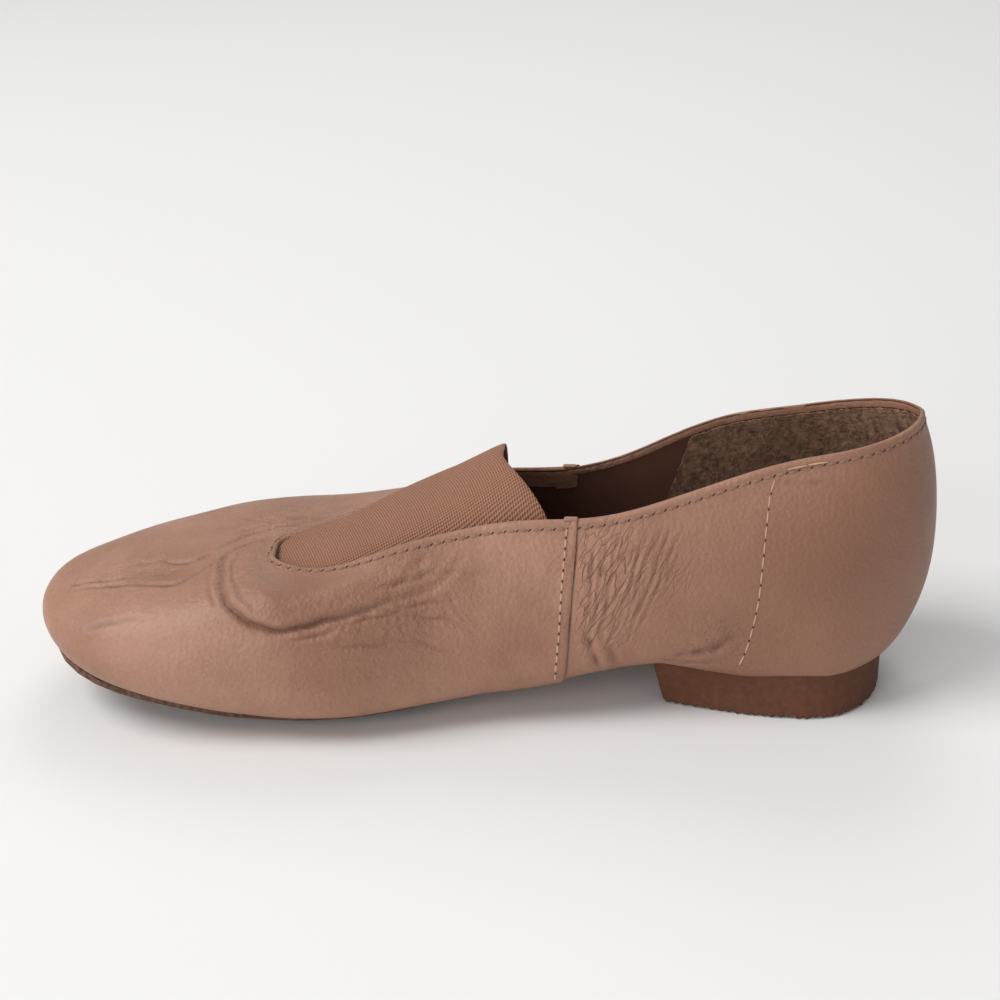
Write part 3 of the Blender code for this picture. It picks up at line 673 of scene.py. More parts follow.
creases = {
    "throatRing": softCrease([(-36, 5, 45), (-44, 2.5, 44), (-51.3, -0.4, 42.5), (-58.6, -4.7, 42),
        (-64, -7.5, 41.5), (-68.3, -12.5, 41.2), (-69.3, -19, 41), (-68.4, -26, 40.5), (-66.8, -32, 39.3),
        (-64.6, -36.8, 37.7), (-60.2, -40, 35.1), (-53.3, -41.4, 33.4), (-46.1, -41.1, 33.6), (-37.6, -39.3, 35.6),
        (-32, -37.6, 36.4), (-25.4, -35.2, 37.7), (-17.1, -31.6, 39.3), (-9.3, -28.6, 40.7)], 1.0, 0.85, 0.3, 2.1, 0.4),
    "throatPad": softCrease([(-48, -2.5, 43), (-56, -8, 42), (-61.5, -14.5, 42), (-62.5, -22, 41.6),
        (-60.5, -30, 40.5), (-54.5, -35, 38.8), (-46, -35.5, 38.6), (-36, -33, 40.5), (-26, -30, 42), (-16, -27, 43.5)],
        -1.2, 4.4),
    "ringShadow": softCrease([(-64.6, -37, 37.4), (-60.2, -40.4, 34.9), (-53.3, -41.9, 33.1), (-46.1, -41.8, 33.2),
        (-37.6, -40.3, 35), (-27, -37, 36.6)], 0.85, 2.6),
    "ringInner": softCrease([(-62, -8.5, 42), (-65.6, -14, 41.8), (-66.2, -21, 41.4), (-64.8, -28, 40.6),
        (-62, -34, 39), (-57.5, -37.8, 37)], 0.26, 0.45, 0.08, 1.1, 0.25),
    "ringOuter": softCrease([(-70.5, -11, 41), (-72.2, -18, 40.6), (-71.8, -26, 40), (-69.6, -33.5, 38),
        (-66, -39, 35.6)], 0.26, 0.5, 0.1, 1.2, 0.3),
    "ringBranch": softCrease([(-52, -43.2, 31), (-44, -43, 31.8), (-36, -41.2, 33.6), (-28, -38.2, 35.2),
        (-18, -34.6, 36.6), (-6, -31.4, 37.4)], 0.42, 0.6, 0.14, 1.5, 0.5),
    "farRing": softCrease([(-74, -10, 40), (-68, -4, 41.2), (-60, 0.8, 42.4), (-50, 4.5, 43.8), (-40, 8, 45.4)],
        0.42, 0.8, 0.2, 1.6, 0.5),
    "farRingTwo": softCrease([(-70, -1.5, 41), (-62, 3.5, 42.6), (-53, 7.5, 44), (-44, 10.5, 45.4)], 0.28, 0.65,
        0.12, 1.3, 0.6),
    "toeValley": softCrease([(-112, -11, 31), (-104, -12.5, 33.5), (-96, -14.5, 36), (-88, -17.5, 38),
        (-79, -18, 40), (-71, -15, 41.5)], 1.35, 5.0),
    "toeCrease": softCrease([(-113, -12.6, 30.9), (-108, -13.2, 32.4), (-104.3, -13.4, 33.5), (-100, -15, 34.8),
        (-96.7, -15.8, 35.7), (-92.7, -15.2, 37)], 0.9, 0.72, 0.28, 2.0, 0.45),
    "toeCreaseTwo": softCrease([(-111, -16.5, 30.5), (-104, -17.5, 33), (-97, -20, 35.3), (-90, -23, 37),
        (-83.8, -24.8, 38), (-78.3, -24.4, 39.2), (-73, -19.5, 40.4), (-69.1, -15.6, 41)], 0.85, 0.7, 0.26, 1.9, 0.5),
    "toeCreaseThree": softCrease([(-96, -10.5, 37), (-88, -12.5, 39), (-80, -14.5, 40.4), (-73, -12, 41)], 0.55,
        0.6, 0.16, 1.7, 0.5),
    "toeRidge": softCrease([(-108, -7, 33), (-101, -8, 35.5), (-94, -9.5, 37.8), (-86, -12, 39.6)], -0.75, 3.6),
    "toeBranch": softCrease([(-90, -17.5, 37.8), (-84, -17.5, 39), (-78, -15, 40.3), (-72.5, -11, 41)], 0.4, 0.5,
        0.12, 1.6, 0.5),
    "toeSide": softCrease([(-104.5, -32.5, 28.6), (-96.9, -33.7, 30.8), (-85.8, -35.5, 33.4)], 0.22, 0.9, 0.08, 1.8,
        0.5),
    "vampSide": softCrease([(-33.5, -37, 38), (-20.8, -35.6, 35.4), (-8.2, -32.2, 31.7), (-0.4, -31.3, 25.8)], 0.26,
        0.7, 0.1, 1.8, 0.7),
    "vampSideTwo": softCrease([(-44, -43.2, 28.5), (-30, -40.5, 28.5), (-17, -36.5, 27.5), (-6, -33, 22.5)], 0.22,
        0.7, 0.1, 1.8, 0.7),
    "vampSideThree": softCrease([(-26, -32, 41.5), (-17, -29.5, 42.5), (-8, -27, 43.5), (4, -25.5, 42)], 0.26, 0.8,
        0.1, 1.6, 0.6),
    "vampSideFour": softCrease([(-14, -24.5, 49), (-17, -27.5, 45), (-24, -33, 40)], 0.3, 1.3, 0.12, 2.2, 0.3),
    "vampSideFive": softCrease([(-4, -24, 48), (-9, -28, 42.5), (-17, -33, 38)], 0.26, 1.2, 0.1, 2.2, 0.3),
    "archDeep": softCrease([(26.8, -28.6, 27), (29.4, -28.2, 20.5), (31.6, -26.8, 14.6)], 0.7, 0.7, 0.3, 2.2, 0.3,
        bothSides=True),
    "archDeepTwo": softCrease([(33, -27.6, 25), (34.5, -27.2, 19.5), (36, -26, 14.5)], 0.4, 0.8, 0.15, 2.0, 0.3),
    "heelFold": softCrease([(50, -25.8, 18.8), (57, -25.3, 19.8), (62.8, -25, 21.4), (66.5, -24.8, 24.5)], 0.7,
        0.95, 0.3, 2.4, 0.3, bothSides=True),
    "heelFoldTwo": softCrease([(46, -26, 15.6), (54, -25.8, 16.2), (61, -25.2, 17)], 0.3, 1.0, 0.12, 2.0, 0.3,
        bothSides=True),
    "counterTop": softCrease([(73.9, -18.5, 65.8), (81.5, -18.9, 66.1), (91, -19.6, 67)], 0.2, 0.8, 0.08, 1.6, 0.3,
        bothSides=True),
}


def fanOfCreases(name, topLine, bottomLine, count, depth, width):
    # soft wrinkles that run down from one line to another
    for step in range(count):
        share = (step + 0.5) / count
        top = [a + (b - a) * share for a, b in zip(*topLine)]
        bottom = [a + (b - a) * share for a, b in zip(*bottomLine)]
        bend = random.uniform(-1.8, 1.8)
        reach = random.uniform(0.72, 1.0)
        start = random.uniform(0.0, 0.12)
        line = []
        for place in range(5):
            t = start + (reach - start) * place / 4
            x, y, z = [a + (b - a) * t for a, b in zip(top, bottom)]
            line.append((x + bend * math.sin(math.pi * t), y, z))
        strength = random.uniform(0.65, 1.15)
        creases[name + str(step)] = softCrease(line, depth * strength, width, depth * 0.22, width * 2.2, 0.32,
                                               bothSides=True)


fanOfCreases("quarterFan", ((28.5, -22, 52), (54, -21.5, 57)), ((25.5, -28.8, 21), (40, -27, 22)), 9, 0.32, 0.44)
fanOfCreases("quarterShort", ((27.5, -22, 50), (34, -21.5, 52)), ((26.0, -27.5, 30), (31, -27, 32)), 5, 0.22, 0.40)
fanOfCreases("quarterLow", ((34, -24, 44), (48, -23.5, 44)), ((28, -28, 24), (36, -27.5, 24)), 4, 0.28, 0.44)
fanOfCreases("vampCross", ((-34, -38, 36), (-8, -29, 42)), ((-40, -43, 27), (2, -31, 28)), 7, 0.14, 0.55)
fanOfCreases("vampFar", ((-62, 4, 43), (-34, 13, 46)), ((-74, -3, 41), (-44, 16, 45)), 6, 0.16, 0.75)


seamLine = [(24.9, -20.6, 54.6), (24.1, -23.8, 45.7), (23.2, -26.6, 35.4), (22.5, -28.5, 24.6), (21.9, -28.6, 16),
            (21.2, -26.7, 11)]
lapLine = [(22.9, -21.2, 54.6), (22.1, -24.4, 45.7), (21.3, -27.2, 35.4), (20.6, -28.9, 24.6), (20.0, -28.9, 16),
           (19.3, -26.9, 11)]
creases["innerSeamLine"] = softCrease(seamLine, 0.62, 0.55, 0.0, 0.9, bothSides=True)
creases["innerSeamLap"] = softCrease(lapLine, -0.34, 1.7, bothSides=True)


def smoothLine(points, pitch):
    # rounds the corners of a line and samples it evenly
    points = [Vector(point) * mm for point in points]
    dense = []
    for index in range(len(points) - 1):
        before = points[max(0, index - 1)]
        here = points[index]
        after = points[index + 1]
        beyond = points[min(len(points) - 1, index + 2)]
        for step in range(12):
            t = step / 12
            dense.append(0.5 * ((2 * here) + (after - before) * t + (2 * before - 5 * here + 4 * after - beyond) * t**2
                                + (3 * here - before - 3 * after + beyond) * t**3))
    dense.append(points[-1])
    places = np.array([point[:] for point in dense])
    return evenly(places, max(2, int(round(runOf(places)[-1] / pitch))) + 1)


def linesOf(crease):
    # the crease's own line, and its mirror image where it is on both sides
    return [crease["line"], otherSide(crease["line"])] if crease["bothSides"] else [crease["line"]]


def treeOf(obj):
    work = bmesh.new()
    work.from_mesh(obj.data)
    tree = BVHTree.FromBMesh(work)
    work.free()
    return tree


skinTree = treeOf(upperSkin)


def refineNearCreases(obj, reach):
    # halves the faces beside every narrow crease
    marks = []
    for crease in creases.values():
        if crease["width"] <= 1.3 and crease["depth"] >= 0:
            for line in linesOf(crease):
                marks.extend(laidOnSkin(smoothLine(line, 0.8 * mm), skinTree)[0])
    tree = pointTree(marks)
    halveFaces(obj, [tree.find(centre)[2] < reach * mm for centre in faceCentres(obj)])


def laidOnSkin(places, tree):
    laid = []
    facing = []
    for place in places:
        spot, normal, _, _ = tree.find_nearest(Vector(place))
        laid.append(spot[:])
        facing.append(normal[:])
    return np.array(laid), np.array(facing)


def creaseField(places, normals):
    push = np.zeros(len(places))
    shade = np.zeros(len(places))
    for crease in creases.values():
        for line in linesOf(crease):
            samples = smoothLine(line, 0.7 * mm)
            wobble = crease["wobble"] * mm
            phase = random.uniform(0, 6.28)
            run = np.arange(len(samples)) * 0.7
            offset = wobble * (np.sin(run / 3.1 + phase) * 0.65 + np.sin(run / 1.3 + phase * 2.3) * 0.35)
            samples, facing = laidOnSkin(samples, skinTree)
            along = np.gradient(samples, axis=0)
            along /= np.linalg.norm(along, axis=1)[:, None] + 1e-12
            across = np.cross(along, facing)
            samples = samples + across * offset[:, None]
            reach = (max(crease["width"], crease["lipAt"]) * 3.2) * mm
            low = samples.min(0) - reach
            high = samples.max(0) + reach
            close = np.nonzero(((places > low) & (places < high)).all(1))[0]
            if len(close) == 0:
                continue
            gaps = np.empty(len(close))
            sideways = np.empty(len(close))
            travelled = np.empty(len(close))
            for start in range(0, len(close), 20000):
                block = close[start:start + 20000]
                difference = places[block][:, None, :] - samples[None, :, :]
                square = (difference ** 2).sum(2)
                nearest = square.argmin(1)
                rows = np.arange(len(block))
                gaps[start:start + 20000] = np.sqrt(square[rows, nearest])
                sideways[start:start + 20000] = (difference[rows, nearest] * across[nearest]).sum(1)
                travelled[start:start + 20000] = nearest / (len(samples) - 1)
            fade = np.sqrt(np.clip(np.minimum(travelled, 1 - travelled) * 4.5, 0, 1))
            width = crease["width"] * mm
            swell = 0.72 + 0.28 * np.sin(travelled * (5 + 3 * phase) + phase)
            trough = np.exp(-(gaps / width) ** 2) * fade * swell
            same = (normals[close] * facing[(travelled * (len(samples) - 1)).astype(int)]).sum(1) > 0.0
            lip = np.exp(-((np.abs(sideways) - crease["lipAt"] * mm) / (width * 1.1)) ** 2) * fade
            lip *= np.exp(-np.clip(gaps - np.abs(sideways), 0, None) / width)
            push[close] += np.where(same, -crease["depth"] * trough + crease["lip"] * lip, 0.0)
            if 0 < crease["depth"] and crease["width"] < 1.05:
                depthShade = min(0.85, 0.18 + crease["depth"] * 0.75)
                shade[close] = np.maximum(shade[close], np.where(same, trough ** 1.5 * depthShade, 0.0))
    return push * mm, shade


refineNearCreases(upperSkin, 1.5)
print("shoe: skin refined to", sum(len(face.vertices) - 2 for face in upperSkin.data.polygons), "triangles")
skinPlaces = pointsOf(upperSkin)
skinNormals = normalsOf(upperSkin)
push, shade = creaseField(skinPlaces, skinNormals)
edgeTree = pointTree(settleLeather(edgePlaces))
edgeDistance = np.array([edgeTree.find(place)[2] for place in skinPlaces])
keepEdge = np.clip((edgeDistance - 3.2 * mm) / (3 * mm), 0, 1)
# slow waves of soft leather that is off the last
slow = (np.sin(skinPlaces[:, 0] / mm * 0.105 + 1.1) * np.cos(skinPlaces[:, 2] / mm * 0.16)
        + 0.6 * np.sin(skinPlaces[:, 0] / mm * 0.21 + skinPlaces[:, 1] / mm * 0.13))
standing = np.clip((skinPlaces[:, 2] - 12 * mm) / (10 * mm), 0, 1)
# the folded edge stands up as a lip, and the stitches lie in a shallow channel behind it
edgeForm = {"lip": 0.28, "lipAt": 0.9, "lipHalf": 0.75, "channel": 0.20, "channelAt": 2.5, "channelHalf": 0.7,
            "waves": 0.14}
lipAndChannel = (edgeForm["lip"] * np.exp(-((edgeDistance / mm - edgeForm["lipAt"]) / edgeForm["lipHalf"]) ** 2)
                 - edgeForm["channel"]
                 * np.exp(-((edgeDistance / mm - edgeForm["channelAt"]) / edgeForm["channelHalf"]) ** 2))
middle = np.stack([np.clip(skinPlaces[:, 0], -80 * mm, 80 * mm), np.full(len(skinPlaces), middleLine * mm),
                   np.full(len(skinPlaces), 30 * mm)], axis=1)
onOutside = (skinNormals * (skinPlaces - middle)).sum(1) > 0
push = push * keepEdge + lipAndChannel * mm * onOutside + slow * edgeForm["waves"] * mm * keepEdge * standing
putPoints(upperSkin, skinPlaces + skinNormals * push[:, None])

# places that are cracked, wrinkled in fans, or darkened by painted shade: middle, reach (mm) and strength
toneSpots = {
    "wrinkled": (((-56, 6, 43), 16, 0.9), ((-20, -33, 38), 20, 0.48), ((34, -24, 42), 16, 0.25),
                 ((34, 34, 42), 16, 0.25), ((-66, -22, 40), 12, 0.6), ((60, -25, 20), 14, 0.5),
                 ((-96, -15, 36), 14, 0.5), ((0, 40, 34), 22, 0.7), ((-30, -42, 26), 18, 0.35)),
    "fanned": (((33, -24, 44), 12, 1.0), ((29, -26, 30), 10, 0.9), ((46, -23, 42), 10, 0.55),
               ((33, 34, 44), 12, 0.9), ((29, 36, 30), 10, 0.8), ((62, -24, 25), 6, 0.3)),
    # painted shade on the throat pad's lower slope, round the heel counter and on the toe
    "paintedShade": (((-46, -34, 38.5), 13, 0.85), ((-59, -34, 38), 9, 0.5), ((-30, -34, 40), 12, 0.4),
                 ((90, -24, 45), 34, 1.0), ((74, -24, 25), 24, 0.8), ((112, 5, 45), 24, 0.4),
                 ((-90, -16, 38), 12, 0.25)),
}
tones = {"creaseShade": np.clip(shade * keepEdge, 0, 1)}
for name, spots in toneSpots.items():
    tones[name] = np.zeros(len(skinPlaces))
    for centre, reach, amount in spots:
        away = np.linalg.norm(skinPlaces - np.array(centre) * mm, axis=1) / (reach * mm)
        tones[name] = np.maximum(tones[name], amount * np.exp(-away ** 2))
tones["fanned"] *= np.clip((skinPlaces[:, 0] - 24 * mm) / (1.5 * mm), 0, 1)     # only behind the seam
for name, values in tones.items():
    layer = upperSkin.data.attributes.new(name, "FLOAT", "POINT")
    layer.data.foreach_set("value", values.astype(np.float32))
finishPiece(upperSkin, "upper", tanLeather, 75)
print("shoe: leather creased")


# ---- lining and the felt grip inside the back
lining = {"backOff": 0.25, "thickness": 0.4, "vampClear": 1.5}
grip = {"front": 53.0, "slant": 0.30, "low": 21.0, "below": 2.9, "standOff": 0.5, "thickness": 0.5}

applyModifier(liningPiece, "SUBSURF", levels=1, render_levels=1, boundary_smooth="PRESERVE_CORNERS")
putPoints(liningPiece, settleLeather(pointsOf(liningPiece)))
edgePlaces = settleLeather(edgePlaces)
gripPiece = duplicate(liningPiece, "heelGripPatch")
liningPlaces = pointsOf(liningPiece)
# inside the vamp the lining stands clear of the leather's troughs
clear = np.clip(nearEdge(liningPlaces) / (8 * mm), 0, 1) * np.clip((-liningPlaces[:, 0] - 30 * mm) / (20 * mm), 0, 1)
standOff = (lining["vampClear"] * clear - lining["backOff"]) * mm
putPoints(liningPiece, liningPlaces + normalsOf(liningPiece) * standOff[:, None])
applyModifier(liningPiece, "SOLIDIFY", thickness=lining["thickness"] * mm, offset=-1.0)
finishPiece(liningPiece, None, liningCloth)

for corner, way in (((grip["front"], 0, 45), (-1, 0, grip["slant"])), ((60, 0, grip["low"]), (0, 0, -1))):
    editAll(gripPiece)
    bpy.ops.mesh.bisect(plane_co=[value * mm for value in corner], plane_no=way, clear_outer=True)
    endEdit()
applyModifier(gripPiece, "SUBSURF", levels=2, render_levels=2, subdivision_type="SIMPLE")
deleteFaces(gripPiece, nearEdge(faceCentres(gripPiece)) < grip["below"] * mm)
gripPlaces = pointsOf(gripPiece)
fluff = np.array([random.uniform(-0.12, 0.12) for _ in gripPlaces])
putPoints(gripPiece, gripPlaces + normalsOf(gripPiece) * (grip["standOff"] + fluff)[:, None] * mm)
applyModifier(gripPiece, "SOLIDIFY", thickness=grip["thickness"] * mm, offset=-1.0)
finishPiece(gripPiece, None, heelGripFelt)
print("shoe: lining and heel grip in")


# ---- elastic gore
gore = copyOfPart("gore", "elasticGore")
applyModifier(gore, "SUBSURF", levels=2, render_levels=2)
goreShape = {"bulge": 3.1, "margin": 0.9, "rearNear": 4.0, "rearCrown": 1.2, "rearFar": -10.0}     # mm
gorePlaces = roundThroat(pointsOf(gore))
front, rear = gorePlaces[:, 0].min(), gorePlaces[:, 0].max()
steps = np.linspace(front, rear, 24)
nearLine, farLine = [], []
for step in steps:
    band = gorePlaces[np.abs(gorePlaces[:, 0] - step) < 2.5 * mm]
    nearLine.append(band[:, 1].min())
    farLine.append(band[:, 1].max())
nearY = np.interp(gorePlaces[:, 0], steps, nearLine)
farY = np.interp(gorePlaces[:, 0], steps, farLine)
across = np.clip((gorePlaces[:, 1] - nearY) / (farY - nearY + 1e-6), 0, 1)
alongGore = np.clip((gorePlaces[:, 0] - front) / (rear - front), 0, 1)
rise = np.sin(math.pi * across ** 1.7) * np.clip(alongGore / 0.22, 0, 1)
rise = rise * (1 - 0.45 * np.clip(alongGore * 2 - 1, 0, 1))
gorePlaces[:, 2] += goreShape["bulge"] * mm * rise
goreGap = np.array([edgeTree.find(place)[2] for place in gorePlaces])
margin = goreShape["margin"] * mm * np.clip(1 - goreGap / (10 * mm), 0, 1) ** 0.5
gorePlaces[:, 2] += margin * np.clip(across * 2 - 0.6, 0, 1)
reachBack = np.clip((alongGore - 0.5) / 0.5, 0, 1) ** 1.5
gorePlaces[:, 0] += reachBack * np.interp(across, [0, 0.5, 1], [goreShape["rearNear"], goreShape["rearCrown"],
                                                               goreShape["rearFar"]]) * mm
putPoints(gore, gorePlaces)
finishPiece(gore, "gore", ribbedElastic)
print("shoe: gore in")


# ---- stitching
outerTree = treeOf(upperSkin)


def baseStitch(name, length, width, height):
    # one thread bead, drawn long and low; its copies make the rows
    bpy.ops.object.select_all(action="DESELECT")
    bpy.ops.mesh.primitive_uv_sphere_add(segments=8, ring_count=5, radius=0.5, location=(0, 0, 0))
    bead = bpy.context.object
    bead.name = name
    editAll(bead)
    bpy.ops.transform.rotate(value=math.pi / 2, orient_axis="Y", center_override=(0, 0, 0))
    bpy.ops.transform.resize(value=(length * mm, width * mm, height * mm), center_override=(0, 0, 0))
    endEdit()
    return bead


def rowOfBeads(name, bead, spots, material):
    # spots: place, way along, facing, sink in mm
    copies = []
    for place, along, facing, sink in spots:
        across = facing.cross(along).normalized()
        along = across.cross(facing).normalized()
        turn = Matrix((along, across, facing)).transposed().to_4x4()
        piece = duplicate(bead, name + "Copy")
        piece.data.transform(Matrix.Translation(place - facing * sink * mm) @ turn)
        copies.append(piece)
    bpy.ops.object.select_all(action="DESELECT")
    for piece in copies:
        piece.select_set(True)
    bpy.context.view_layer.objects.active = copies[0]
    bpy.ops.object.join()
    row = bpy.context.object
    row.name = name
    row.data.materials.append(material)
    onlySelect(row)
    bpy.ops.object.shade_smooth()
    return row


def skinSpots(places, pitch, clear=0.9):
    # places along a line, laid on the leather and clear of its edge, with the way along
    places = np.array(places)
    lengths = runOf(places)
    count = int(lengths[-1] / (pitch * mm))
    spots = []
    for step in range(count):
        where = (step + 0.5) * pitch * mm
        here = Vector([np.interp(where, lengths, places[:, axis]) for axis in range(3)])
        ahead = Vector([np.interp(where + 0.4 * mm, lengths, places[:, axis]) for axis in range(3)])
        spot, facing, _, _ = outerTree.find_nearest(here)
        if edgeTree.find(spot)[2] > clear * mm:
            spots.append((spot, (ahead - here).normalized(), facing))
    return spots


edgeRow = {"below": 2.5, "pitch": 3.25, "length": 2.25, "width": 1.05, "height": 0.75, "sink": 0.05,
           "holeLong": 1.25, "holeWide": 0.50, "holeTurn": 38}
seamRow = {"pitch": 2.85, "length": 2.25, "width": 0.62, "height": 0.55, "sink": 0.0,
           "holeLong": 0.85, "holeWide": 0.62, "holeTurn": 0}
counterRow = {"pitch": 4.1, "length": 3.5, "width": 0.50, "height": 0.44, "sink": -0.02,
              "holeLong": 0.8, "holeWide": 0.55, "holeTurn": 0}

insetPlaces = np.array([(place + inwards * edgeRow["below"] * mm)[:]
                        for place, facing, inwards in throatSamples + throatSamples[:1]])
insetPlaces[1:-1] = (insetPlaces[:-2] + 2 * insetPlaces[1:-1] + insetPlaces[2:]) / 4    # evens out small steps
edgeSpots = skinSpots(insetPlaces, edgeRow["pitch"])


def halfWayHoles(spots):
    # dark beads of painted shade in the needle holes between neighbouring stitches
    holes = []
    for first, second in zip(spots[:-1], spots[1:]):
        middle = (first[0] + second[0]) / 2
        if (second[0] - first[0]).length > 6 * mm:
            continue
        spot, facing, _, _ = outerTree.find_nearest(middle)
        holes.append((spot, first[1], facing, 0.05))
    return holes


def stitchRow(name, spots, sizes, material):
    bead = baseStitch(name + "Bead", sizes["length"], sizes["width"], sizes["height"])
    sewn = [(place, along, facing, sizes["sink"] + random.uniform(-0.03, 0.05)) for place, along, facing in spots]
    row = rowOfBeads(name, bead, sewn, material)
    hole = baseStitch(name + "HoleBead", sizes["holeLong"], sizes["holeWide"], 0.42)
    hole.data.transform(Matrix.Rotation(math.radians(sizes["holeTurn"]), 4, "Z"))
    holes = rowOfBeads(name + "Holes", hole, halfWayHoles(spots), needleHoleShade)
    for spare in (bead, hole):
        bpy.data.objects.remove(spare)
    finishPiece(row)
    finishPiece(holes)


stitchRow("edgeStitches", edgeSpots, edgeRow, tanThread)

sideSeam = [(21.9, -21.2, 54.0), (21.3, -24.0, 46), (20.6, -26.9, 36), (20.0, -28.9, 25), (19.3, -29.2, 16),
            (18.6, -27.5, 11)]
counterLine = [(75.3, -18.2, 67.0), (74.0, -20.2, 61.8), (73.1, -23.0, 50.0), (72.1, -24.8, 34), (70.3, -24.8, 22.7),
               (68.2, -24.0, 16.0), (66.2, -23.2, 12.6)]
for name, line, sizes in (("Seam", sideSeam, seamRow), ("Counter", counterLine, counterRow)):
    for side, sideLine, clear in (("inner", line, 0.9), ("outer", otherSide(line), 2.6)):
        laid, _ = laidOnSkin(smoothLine(sideLine, 0.8 * mm), outerTree)
        stitchRow(side + name, skinSpots(laid, sizes["pitch"], clear), sizes, beigeThread)

seamLap = {"reach": 2.6, "rise": 0.50, "tabLong": 3.7, "tabWide": 1.7, "tabHigh": 0.95}


def plainTones(obj):
    # the leather's shading marks, none of them set on an added piece
    for name in ("creaseShade", "wrinkled", "paintedShade", "fanned"):
        obj.data.attributes.new(name, "FLOAT", "POINT")


def lapEdge(name, line):
    # the lapped leather's cut edge: a thin tapering strip laid over the skin ahead of the seam
    ridge, facing = laidOnSkin(smoothLine(line, 1.0 * mm), outerTree)
    bpy.ops.object.select_all(action="DESELECT")
    bpy.ops.mesh.primitive_grid_add(x_subdivisions=5, y_subdivisions=len(ridge) - 1, size=1.0, location=(0, 0, 0))
    strip = bpy.context.object
    strip.name = name
    along = np.gradient(ridge, axis=0)
    along /= np.linalg.norm(along, axis=1)[:, None]
    ahead = np.cross(along, facing)
    ahead *= np.sign(-ahead[:, :1])     # towards the toe
    profile = [(-seamLap["reach"], -0.10), (-seamLap["reach"] * 0.5, seamLap["rise"] * 0.55), (-0.6, seamLap["rise"]),
               (-0.15, seamLap["rise"] * 0.92), (0.02, seamLap["rise"] * 0.45), (0.05, -0.35)]
    places = pointsOf(strip)
    columns = np.round((places[:, 0] + 0.5) * 5).astype(int)
    rows = np.round((places[:, 1] + 0.5) * (len(ridge) - 1)).astype(int)
    for index, (column, row) in enumerate(zip(columns, rows)):
        step, height = profile[column]
        spot, normal, _, _ = outerTree.find_nearest(Vector(ridge[row] - ahead[row] * step * mm))
        places[index] = np.array(spot + normal * height * mm)
    putPoints(strip, places)
    middleFace = strip.data.polygons[len(strip.data.polygons) // 2]
    if middleFace.normal.dot(Vector(facing[len(facing) // 2])) < 0:
        editAll(strip)
        bpy.ops.mesh.flip_normals()
        endEdit()
    plainTones(strip)
    strip.data.attributes["creaseShade"].data.foreach_set("value", [0.9 if column >= 4 else 0.0 for column in columns])
    finishPiece(strip, None, tanLeather, 50)


seamEdge = [(24.7, -20.6, 55.3)] + seamLine[1:]
lapEdge("innerLapEdge", seamEdge)
lapEdge("outerLapEdge", otherSide(seamEdge))


def foldedTab(name, side):
    # the lap's end turned over the topline
    onSide = [sample for sample in throatSamples if side * (sample[0].y - 5 * mm) > 0]
    edge = min(onSide, key=lambda sample: abs(sample[0].x - 22.5 * mm))
    bpy.ops.object.select_all(action="DESELECT")
    bpy.ops.mesh.primitive_cube_add(size=1.0, location=(0, 0, 0))
    tab = bpy.context.object
    tab.name = name
    editAll(tab)
    bpy.ops.transform.resize(value=(seamLap["tabLong"] * mm, seamLap["tabWide"] * mm, seamLap["tabHigh"] * mm),
                             center_override=(0, 0, 0))
    bpy.ops.mesh.bevel(offset=0.45 * mm, segments=3)
    bpy.ops.transform.translate(value=edge[0] + Vector((0, -side * 0.4, 0.0)) * mm)
    endEdit()
    plainTones(tab)
    finishPiece(tab, None, tanLeather, 50)


foldedTab("innerSeamTab", -1)
foldedTab("outerSeamTab", 1)

# two long loose threads along the near topline
looseBead = baseStitch("looseBead", 5.6, 0.55, 0.5)
looseLine = [(place + inwards * 1.7 * mm)[:] for place, facing, inwards in throatSamples
             if 76 * mm < place.x < 96 * mm and place.y < 5 * mm]
looseLine.sort()
loose = rowOfBeads("looseStitches", looseBead, [(spot, along, facing, -0.22) for spot, along, facing
                                                in skinSpots(looseLine, 5.4)], beigeThread)
bpy.data.objects.remove(looseBead)
finishPiece(loose)
print("shoe: stitched")


# ---- sole pad, insole and heel block
pad = copyOfPart("front_sole", "forefootPad")
applyModifier(pad, "SUBSURF", levels=2, render_levels=2, subdivision_type="SIMPLE")
padPlaces = pointsOf(pad)       # the pad's rim shows a little past the leather
padPlaces[:, 0] += (padPlaces[:, 0] + 60 * mm) * 0.008
padPlaces[:, 1] += (padPlaces[:, 1] + 1 * mm) * 0.022
putPoints(pad, padPlaces)
finishPiece(pad, "front_sole", soleSuede, 40)

insole = copyOfPart("insole", "sockBoard")
applyModifier(insole, "SUBSURF", levels=2, render_levels=2)
finishPiece(insole, "insole", insoleSuede, 50)

heelBlock = {"grain": 0.62, "treadPitch": 2.3, "treadDepth": 0.75, "treadReach": 1.1, "topRise": 0.8, "flare": 2.6}
heel = copyOfPart("heel", "heelBlock")
applyModifier(heel, "REMESH", mode="VOXEL", voxel_size=heelBlock["grain"] * mm, use_smooth_shade=True)
applyModifier(heel, "SMOOTH", factor=0.5, iterations=2)
heelPlaces = pointsOf(heel)
onFloor = np.clip(1 - heelPlaces[:, 2] / (heelBlock["treadReach"] * mm), 0, 1)
tooth = 0.5 + 0.5 * np.sin(heelPlaces[:, 0] / (heelBlock["treadPitch"] * mm) * 2 * math.pi)
heelPlaces[:, 2] += onFloor * np.clip(tooth * 1.5 - 0.35, 0, 1) * heelBlock["treadDepth"] * mm
heelPlaces[:, 2] = np.clip(heelPlaces[:, 2], 0.0, None)
nearFlare = np.clip((middleLine * mm - heelPlaces[:, 1]) / (28 * mm), 0, 1) ** 2
nearFlare = nearFlare * np.clip(1 - heelPlaces[:, 2] / (15 * mm), 0, 1)
heelPlaces[:, 1] -= nearFlare * heelBlock["flare"] * mm
heelPlaces[:, 2] += np.clip((heelPlaces[:, 2] - 8 * mm) / (6 * mm), 0, 1) * heelBlock["topRise"] * mm
putPoints(heel, heelPlaces)
finishPiece(heel, "heel", heelFoam, 50)
print("shoe: sole and heel in")


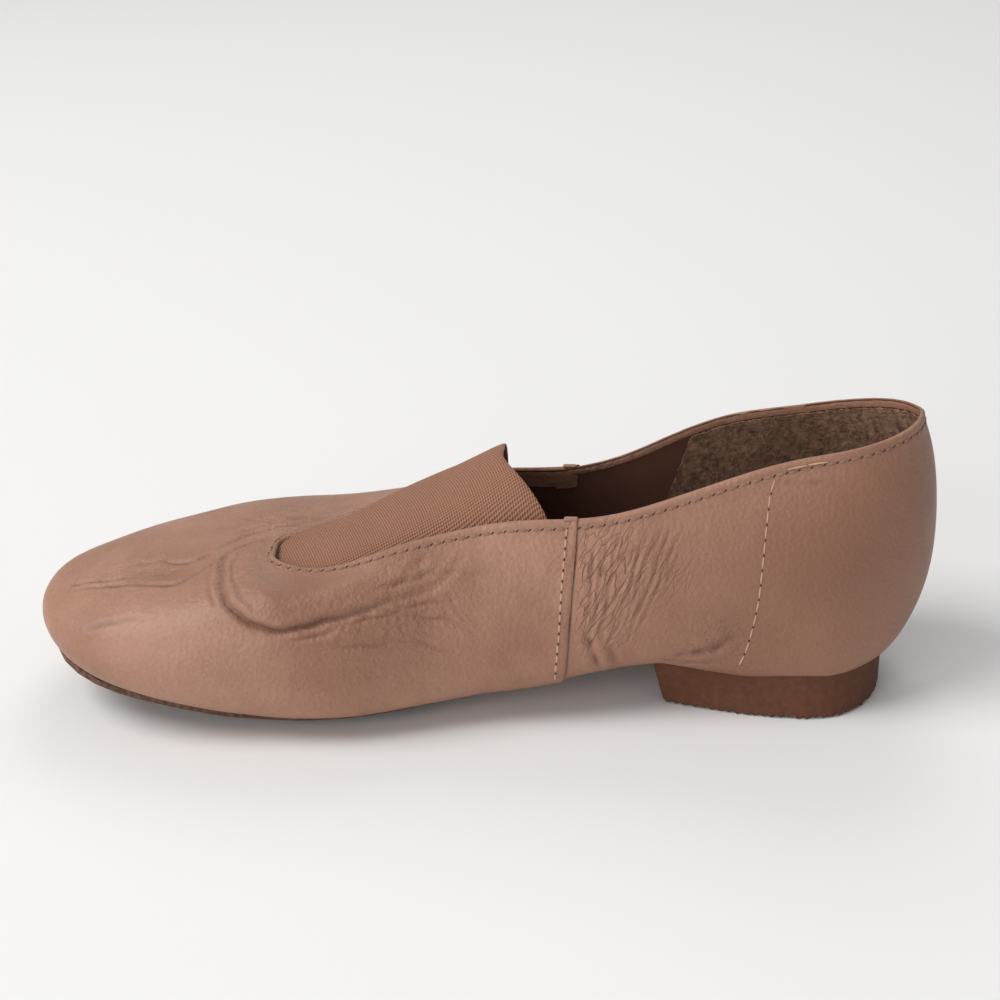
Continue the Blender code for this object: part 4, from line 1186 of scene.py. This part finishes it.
# ---- camera, floor and light
view = {
    "target": (3.52, 5.29, 49.72),
    "turn": 2.235,
    "rise": 23.69,
    "distance": 480.28,
    "roll": -0.255,
    "focal": 62.90,
}


def placeCamera():
    turn = math.radians(view["turn"])
    rise = math.radians(view["rise"])
    back = Vector((math.sin(turn) * math.cos(rise), -math.cos(turn) * math.cos(rise), math.sin(rise)))
    right = (-back).cross(Vector((0, 0, 1))).normalized()
    up = right.cross(-back)
    roll = math.radians(view["roll"])
    sideways = math.cos(roll) * right + math.sin(roll) * up
    upwards = -math.sin(roll) * right + math.cos(roll) * up
    data = bpy.data.cameras.new("photoView")
    data.lens = view["focal"]
    data.sensor_width = 36.0
    data.sensor_fit = "HORIZONTAL"
    data.clip_start = 0.01
    camera = bpy.data.objects.new("photoView", data)
    bpy.context.scene.collection.objects.link(camera)
    matrix = Matrix((sideways, upwards, back)).transposed().to_4x4()
    matrix.translation = Vector(view["target"]) * mm + back * view["distance"] * mm
    camera.matrix_world = matrix
    bpy.context.scene.camera = camera


def areaLight(name, place, aim, size, power, colour=(1, 1, 1)):
    data = bpy.data.lights.new(name, "AREA")
    data.shape = "DISK"
    data.size = size
    data.energy = power
    data.color = colour
    lamp = bpy.data.objects.new(name, data)
    bpy.context.scene.collection.objects.link(lamp)
    lamp.location = place
    lamp.rotation_euler = (Vector(aim) - Vector(place)).to_track_quat("-Z", "Y").to_euler()


placeCamera()
bpy.ops.object.select_all(action="DESELECT")
bpy.ops.mesh.primitive_plane_add(size=14.0, location=(0, 0, -0.0002))
floor = bpy.context.object
floor.name = "paleFloor"
floor.data.materials.append(startMaterial("paleFloor", (0.86, 0.86, 0.86), 0.65)[0])

areaLight("softKey", (-1.55, -0.45, 2.1), (-0.02, 0, 0.03), 1.7, 47.0, (1.0, 0.985, 0.96))
areaLight("frontFill", (-1.3, -2.2, 0.8), (0, 0, 0.03), 1.8, 26.0)
areaLight("backRim", (0.2, 1.9, 1.9), (0, 0, 0.05), 1.5, 14.0)
world = bpy.data.worlds.new("studio")
bpy.context.scene.world = world
world.use_nodes = True
world.node_tree.nodes["Background"].inputs["Color"].default_value = (1.0, 1.0, 1.0, 1.0)
world.node_tree.nodes["Background"].inputs["Strength"].default_value = 0.34
bpy.context.scene.view_settings.view_transform = "Standard"

print("shoe: done")
